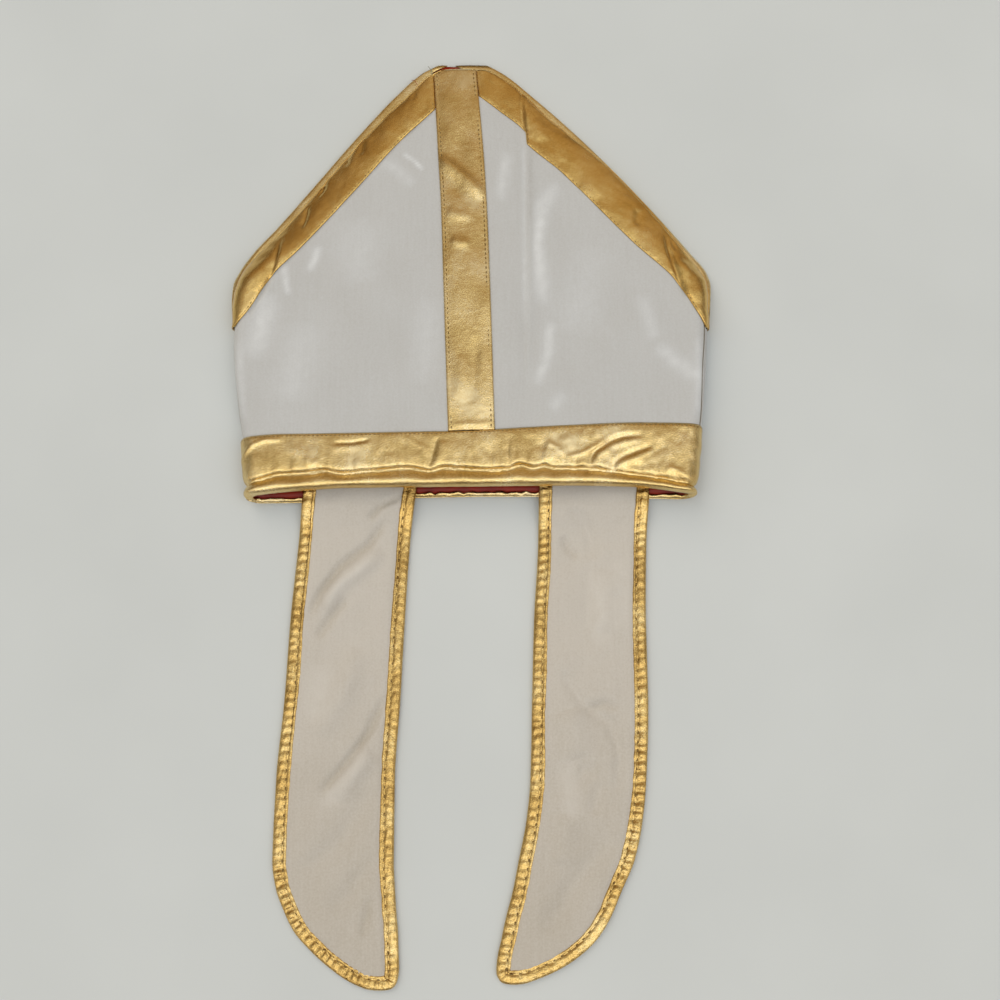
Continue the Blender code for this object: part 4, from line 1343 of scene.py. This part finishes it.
def build_stitches(name, lines, pitch, size):
    """One mesh of the stitches along some lines: each lies along its line, with its top upwards.

    The size is one stitch's length, width and rise.
    """
    places, runs = (np.concatenate(column) for column in zip(*(spaced(line, pitch) for line in lines)))
    runs = runs / np.linalg.norm(runs, axis=1, keepdims=True)
    sides = np.cross([0.0, 0.0, 1.0], runs)
    sides /= np.linalg.norm(sides, axis=1, keepdims=True)
    ups = np.cross(runs, sides)
    shape, quads = bead(*size)
    turned = sum(shape[None, :, i : i + 1] * way[:, None] for i, way in enumerate((runs, sides, ups)))
    points = places[:, None] + turned
    every = quads[None] + (np.arange(len(places)) * len(shape))[:, None, None]
    piece = make_piece(name, points.reshape(-1, 3), every.reshape(-1, 4), finish_of("gold_thread"))
    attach(piece, "root")


def build_all_stitches():
    """Rows of stitches: the middle strip's sides, the slope strips' borders, the band and the bindings."""
    on_strip = TRIM_OUTER - 0.1
    lines = []
    for share, foot in ((STRIPE_STITCH_INSET / STRIPE_WIDTH, 21.0), (1 - STRIPE_STITCH_INSET / STRIPE_WIDTH, 22.6)):
        lines.append(stripe_point(FRONT, share, np.linspace(foot, 279, 900), on_strip))
    build_stitches("middle_strip_stitches", lines, STITCH_PITCH, (1.9, 0.75, 0.7))
    lines = []
    height = np.linspace(97, 255, 700)
    for side, sign in (("left", -1), ("right", 1)):
        start, _ = strip_runs(FRONT, side, height)
        across = sign * FRONT.reached(start + 1.4, height)
        lines.append(FRONT.layer(across, height, on_strip + front_relief(across, height)))
    build_stitches("slope_strip_stitches", lines, STITCH_PITCH, (1.5, 0.5, 0.5))
    across = FRONT.columns(900, 6, 0.95)
    height = FRONT.line("top", across) - 1.6
    line = FRONT.layer(across, height, band_depth(FRONT, across, height, True, 0.06))
    build_stitches("band_edge_stitches", [line], 2.9, (1.7, 0.6, 0.5))
    for side in LAPPETS:
        _, path = lappet_path(side, 0.5)
        place = set_in(path, path_inward(path), BINDING_STITCH)
        line = np.concatenate([place, lappet_level(place)[:, None] + 1.36], axis=1)
        build_stitches(f"{side}_binding_stitches", [line[place[:, 1] < -24]], 5.6, (2.3, 0.8, 0.55))


# Thread ends left at the peak: the finish and slot of each, and its points in millimetres
LOOSE_ENDS = {
    "loose_thread_long": (
        "loose_thread", "gold_lame",
        [(-27.5, 278.0, 8.6), (-28.3, 281.2, 9.4), (-29.8, 283.0, 9.2), (-31.2, 285.6, 7.4)],
    ),
    "loose_thread_short": (
        "loose_thread", "gold_lame",
        [(-28.0, 277.6, 8.6), (-29.0, 280.0, 9.6), (-28.8, 282.6, 9.0), (-27.2, 284.6, 7.0)],
    ),
    "lining_thread": (
        "red_satin", "red_satin",
        [(-38.0, 270.5, 8.4), (-39.5, 272.6, 8.8), (-40.2, 274.6, 8.0), (-42.6, 275.6, 6.6)],
    ),
}
THREAD_RADIUS = 0.16


def build_threads():
    """The loose thread ends at the peak: for each, a ring of six points carried along a soft line."""
    turn = np.linspace(0, 2 * np.pi, 6, endpoint=False)[None, :, None]
    for name, (finish, slot, line) in LOOSE_ENDS.items():
        points = np.array(line)
        spot = softened(at_runs(np.linspace(0, len(points) - 1, 25), np.arange(len(points)), points), 10)
        run = np.gradient(spot, axis=0)
        run /= np.linalg.norm(run, axis=1, keepdims=True)
        side = np.cross(run, [0, 0, 1.0])
        side /= np.linalg.norm(side, axis=1, keepdims=True)
        rise = np.cross(side, run)
        ring = (np.cos(turn) * side[:, None] + np.sin(turn) * rise[:, None]) * THREAD_RADIUS
        quads = grid_quads(len(spot), 6, closed_columns=True)[:, ::-1]
        piece = make_piece(name, (spot[:, None] + ring).reshape(-1, 3), quads, finish_of(finish))
        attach(piece, "root")


# The camera: what it looks at and from how far, its tilt off straight down in degrees, its sensor,
# and the width it sees at that distance
CAMERA_TARGET = (19.0, -22.0, 0.0)
CAMERA_DISTANCE = 1000.0
CAMERA_TILT = 12.0
SENSOR = 36.0
VIEW_WIDTH = 660.0
BOARD_HALF = 3000.0

# The room's brightness by each part of a direction: along Y, from the camera's side at -1 to beyond
# the peak at 1, along X, and upwards. The camera's side is bright and cool, the far side warm and dim
SKY_STRENGTH = 1.35
ALONG = [
    (-1.00, (0.08, 0.07, 0.06)),
    (-0.88, (0.13, 0.11, 0.09)),
    (-0.74, (0.50, 0.50, 0.51)),
    (-0.58, (1.40, 1.41, 1.42)),
    (-0.20, (1.40, 1.41, 1.42)),
    (0.02, (0.61, 0.64, 0.67)),
    (0.24, (0.57, 0.60, 0.63)),
    (0.33, (0.74, 0.75, 0.76)),
    (0.42, (0.31, 0.27, 0.22)),
    (0.62, (0.42, 0.33, 0.22)),
    (0.85, (0.38, 0.29, 0.19)),
    (1.00, (0.20, 0.15, 0.10)),
]
ASIDE = [
    (-1.00, (0.45, 0.43, 0.40)),
    (-0.80, (0.45, 0.43, 0.40)),
    (-0.55, (0.58, 0.52, 0.45)),
    (-0.28, (0.84, 0.82, 0.79)),
    (0.0, (1.0, 1.0, 1.0)),
    (0.30, (1.0, 1.0, 1.0)),
    (0.60, (0.92, 0.90, 0.88)),
    (0.82, (0.50, 0.47, 0.44)),
    (1.00, (0.45, 0.42, 0.40)),
]
UPWARD = [(0.0, (0.30, 0.27, 0.24)), (0.35, (0.85, 0.83, 0.81)), (0.75, (1.0, 1.0, 1.0))]


def build_stage():
    """A pale board in a room bright on the camera's side, a soft high window, and the camera."""
    ways = ((-1, -1), (1, -1), (1, 1), (-1, 1))
    corners = np.array([(x * BOARD_HALF, y * BOARD_HALF, FLOOR_LEVEL) for x, y in ways])
    painted = floor_material("painted_board", "#C7CCCC", "#CCD1D1")
    make_piece("floor", corners, np.array([[0, 1, 2, 3]]), painted)
    scene = bpy.context.scene
    world = bpy.data.worlds.new("soft_room")
    world.use_nodes = True
    scene.world = world
    tree = world.node_tree
    tree.nodes.clear()
    way = add_node(tree, "ShaderNodeTexCoord").outputs["Generated"]
    parts = add_node(tree, "ShaderNodeSeparateXYZ", links={"Vector": way})
    light = None
    for part, stops in (("Y", ALONG), ("X", ASIDE), ("Z", UPWARD)):
        source = parts.outputs[part]
        if stops[0][0] < 0:
            span = {"From Min": -1.0, "From Max": 1.0}
            source = add_node(tree, "ShaderNodeMapRange", span, {"Value": source}).outputs["Result"]
            stops = [((place + 1) / 2, colour) for place, colour in stops]
        colour = linear_ramp(tree, source, stops)
        if light is None:
            light = colour
            continue
        both = add_node(tree, "ShaderNodeMix", {"data_type": "RGBA", "blend_type": "MULTIPLY"})
        both.inputs[0].default_value = 1.0
        tree.links.new(light, both.inputs[6])
        tree.links.new(colour, both.inputs[7])
        light = both.outputs[2]
    background = add_node(tree, "ShaderNodeBackground", {"Strength": SKY_STRENGTH}, {"Color": light})
    output = add_node(tree, "ShaderNodeOutputWorld")
    tree.links.new(background.outputs["Background"], output.inputs["Surface"])

    window = bpy.data.lights.new("high_window", "SUN")
    window.energy = 0.98
    window.angle = np.radians(50)
    window.color = linear("#FFF8EE")
    lamp = bpy.data.objects.new("high_window", window)
    lamp.visible_glossy = False
    lamp.rotation_euler = (np.radians(-34), np.radians(-38), 0)
    scene.collection.objects.link(lamp)

    camera = bpy.data.cameras.new("camera")
    camera.sensor_width = SENSOR
    camera.lens = SENSOR * CAMERA_DISTANCE / VIEW_WIDTH
    camera.clip_end = 20.0
    eye = bpy.data.objects.new("camera", camera)
    tilt = np.radians(CAMERA_TILT)
    target = np.array(CAMERA_TARGET)
    back = np.array([0.0, -np.sin(tilt), np.cos(tilt)])
    eye.location = (target + CAMERA_DISTANCE * back) * METRE
    eye.rotation_euler = (tilt, 0, 0)
    scene.collection.objects.link(eye)
    scene.camera = eye
    scene.view_settings.view_transform = "Standard"


class MitreSettings(bpy.types.PropertyGroup):
    """Sizes that a user may change."""

    cell: bpy.props.FloatProperty(
        name="Cloth step", description="Width of one cell of the velour's mesh", default=0.0016, min=0.0008,
        unit="LENGTH",
    )


def cell_of(context):
    """The width of the velour's cells, in millimetres."""
    return context.scene.mitre.cell / METRE


class MITRE_OT_panels(bpy.types.Operator):
    """Make the front and back panels of velour"""

    bl_idname = "mitre.panels"
    bl_label = "Velour panels"

    def execute(self, context):
        build_panels(cell_of(context))
        return {"FINISHED"}


class MITRE_OT_linings(bpy.types.Operator):
    """Make the red linings inside the panels"""

    bl_idname = "mitre.linings"
    bl_label = "Linings"

    def execute(self, context):
        build_linings(cell_of(context))
        return {"FINISHED"}


class MITRE_OT_slope_strips(bpy.types.Operator):
    """Make the four gold strips folded round the slopes"""

    bl_idname = "mitre.slope_strips"
    bl_label = "Slope strips"

    def execute(self, context):
        build_slope_strips(cell_of(context))
        return {"FINISHED"}


class MITRE_OT_middle_strips(bpy.types.Operator):
    """Make the gold strips up the middle"""

    bl_idname = "mitre.middle_strips"
    bl_label = "Middle strips"

    def execute(self, context):
        build_middle_strips(cell_of(context))
        return {"FINISHED"}


class MITRE_OT_head_band(bpy.types.Operator):
    """Make the gathered gold band round the head opening"""

    bl_idname = "mitre.head_band"
    bl_label = "Head band"

    def execute(self, context):
        build_head_band(cell_of(context))
        return {"FINISHED"}


class MITRE_OT_lappets(bpy.types.Operator):
    """Make the two lappets of velour"""

    bl_idname = "mitre.lappets"
    bl_label = "Lappets"

    def execute(self, context):
        build_lappets(cell_of(context))
        return {"FINISHED"}


class MITRE_OT_bindings(bpy.types.Operator):
    """Make the gold bindings folded round the lappets' edges"""

    bl_idname = "mitre.bindings"
    bl_label = "Lappet bindings"

    def execute(self, context):
        build_bindings(cell_of(context))
        return {"FINISHED"}


class MITRE_OT_stitches(bpy.types.Operator):
    """Make the rows of stitches and the loose thread ends"""

    bl_idname = "mitre.stitches"
    bl_label = "Stitches"

    def execute(self, context):
        build_all_stitches()
        build_threads()
        return {"FINISHED"}


class MITRE_OT_stage(bpy.types.Operator):
    """Make the board, the light and the camera"""

    bl_idname = "mitre.stage"
    bl_label = "Stage"

    def execute(self, context):
        build_stage()
        return {"FINISHED"}


OPERATORS = (
    MITRE_OT_panels,
    MITRE_OT_linings,
    MITRE_OT_slope_strips,
    MITRE_OT_middle_strips,
    MITRE_OT_head_band,
    MITRE_OT_lappets,
    MITRE_OT_bindings,
    MITRE_OT_stitches,
    MITRE_OT_stage,
)


class MITRE_PT_sidebar(bpy.types.Panel):
    """Lists the mitre's sizes and its operators"""

    bl_idname = "MITRE_PT_sidebar"
    bl_label = "Mitre"
    bl_space_type = "VIEW_3D"
    bl_region_type = "UI"
    bl_category = "Mitre"

    def draw(self, context):
        self.layout.prop(context.scene.mitre, "cell")
        for operator in OPERATORS:
            self.layout.operator(operator.bl_idname)


CLASSES = (MitreSettings, *OPERATORS, MITRE_PT_sidebar)


def register():
    """Registers the settings, the operators and the panel."""
    for made in CLASSES:
        bpy.utils.register_class(made)
    bpy.types.Scene.mitre = bpy.props.PointerProperty(type=MitreSettings)


def unregister():
    """Takes them out again."""
    del bpy.types.Scene.mitre
    for made in reversed(CLASSES):
        bpy.utils.unregister_class(made)


def main():
    """Builds every piece and the stage in order."""
    register()
    for operator in OPERATORS:
        group, name = operator.bl_idname.split(".")
        getattr(getattr(bpy.ops, group), name)()


if __name__ == "__main__":
    main()
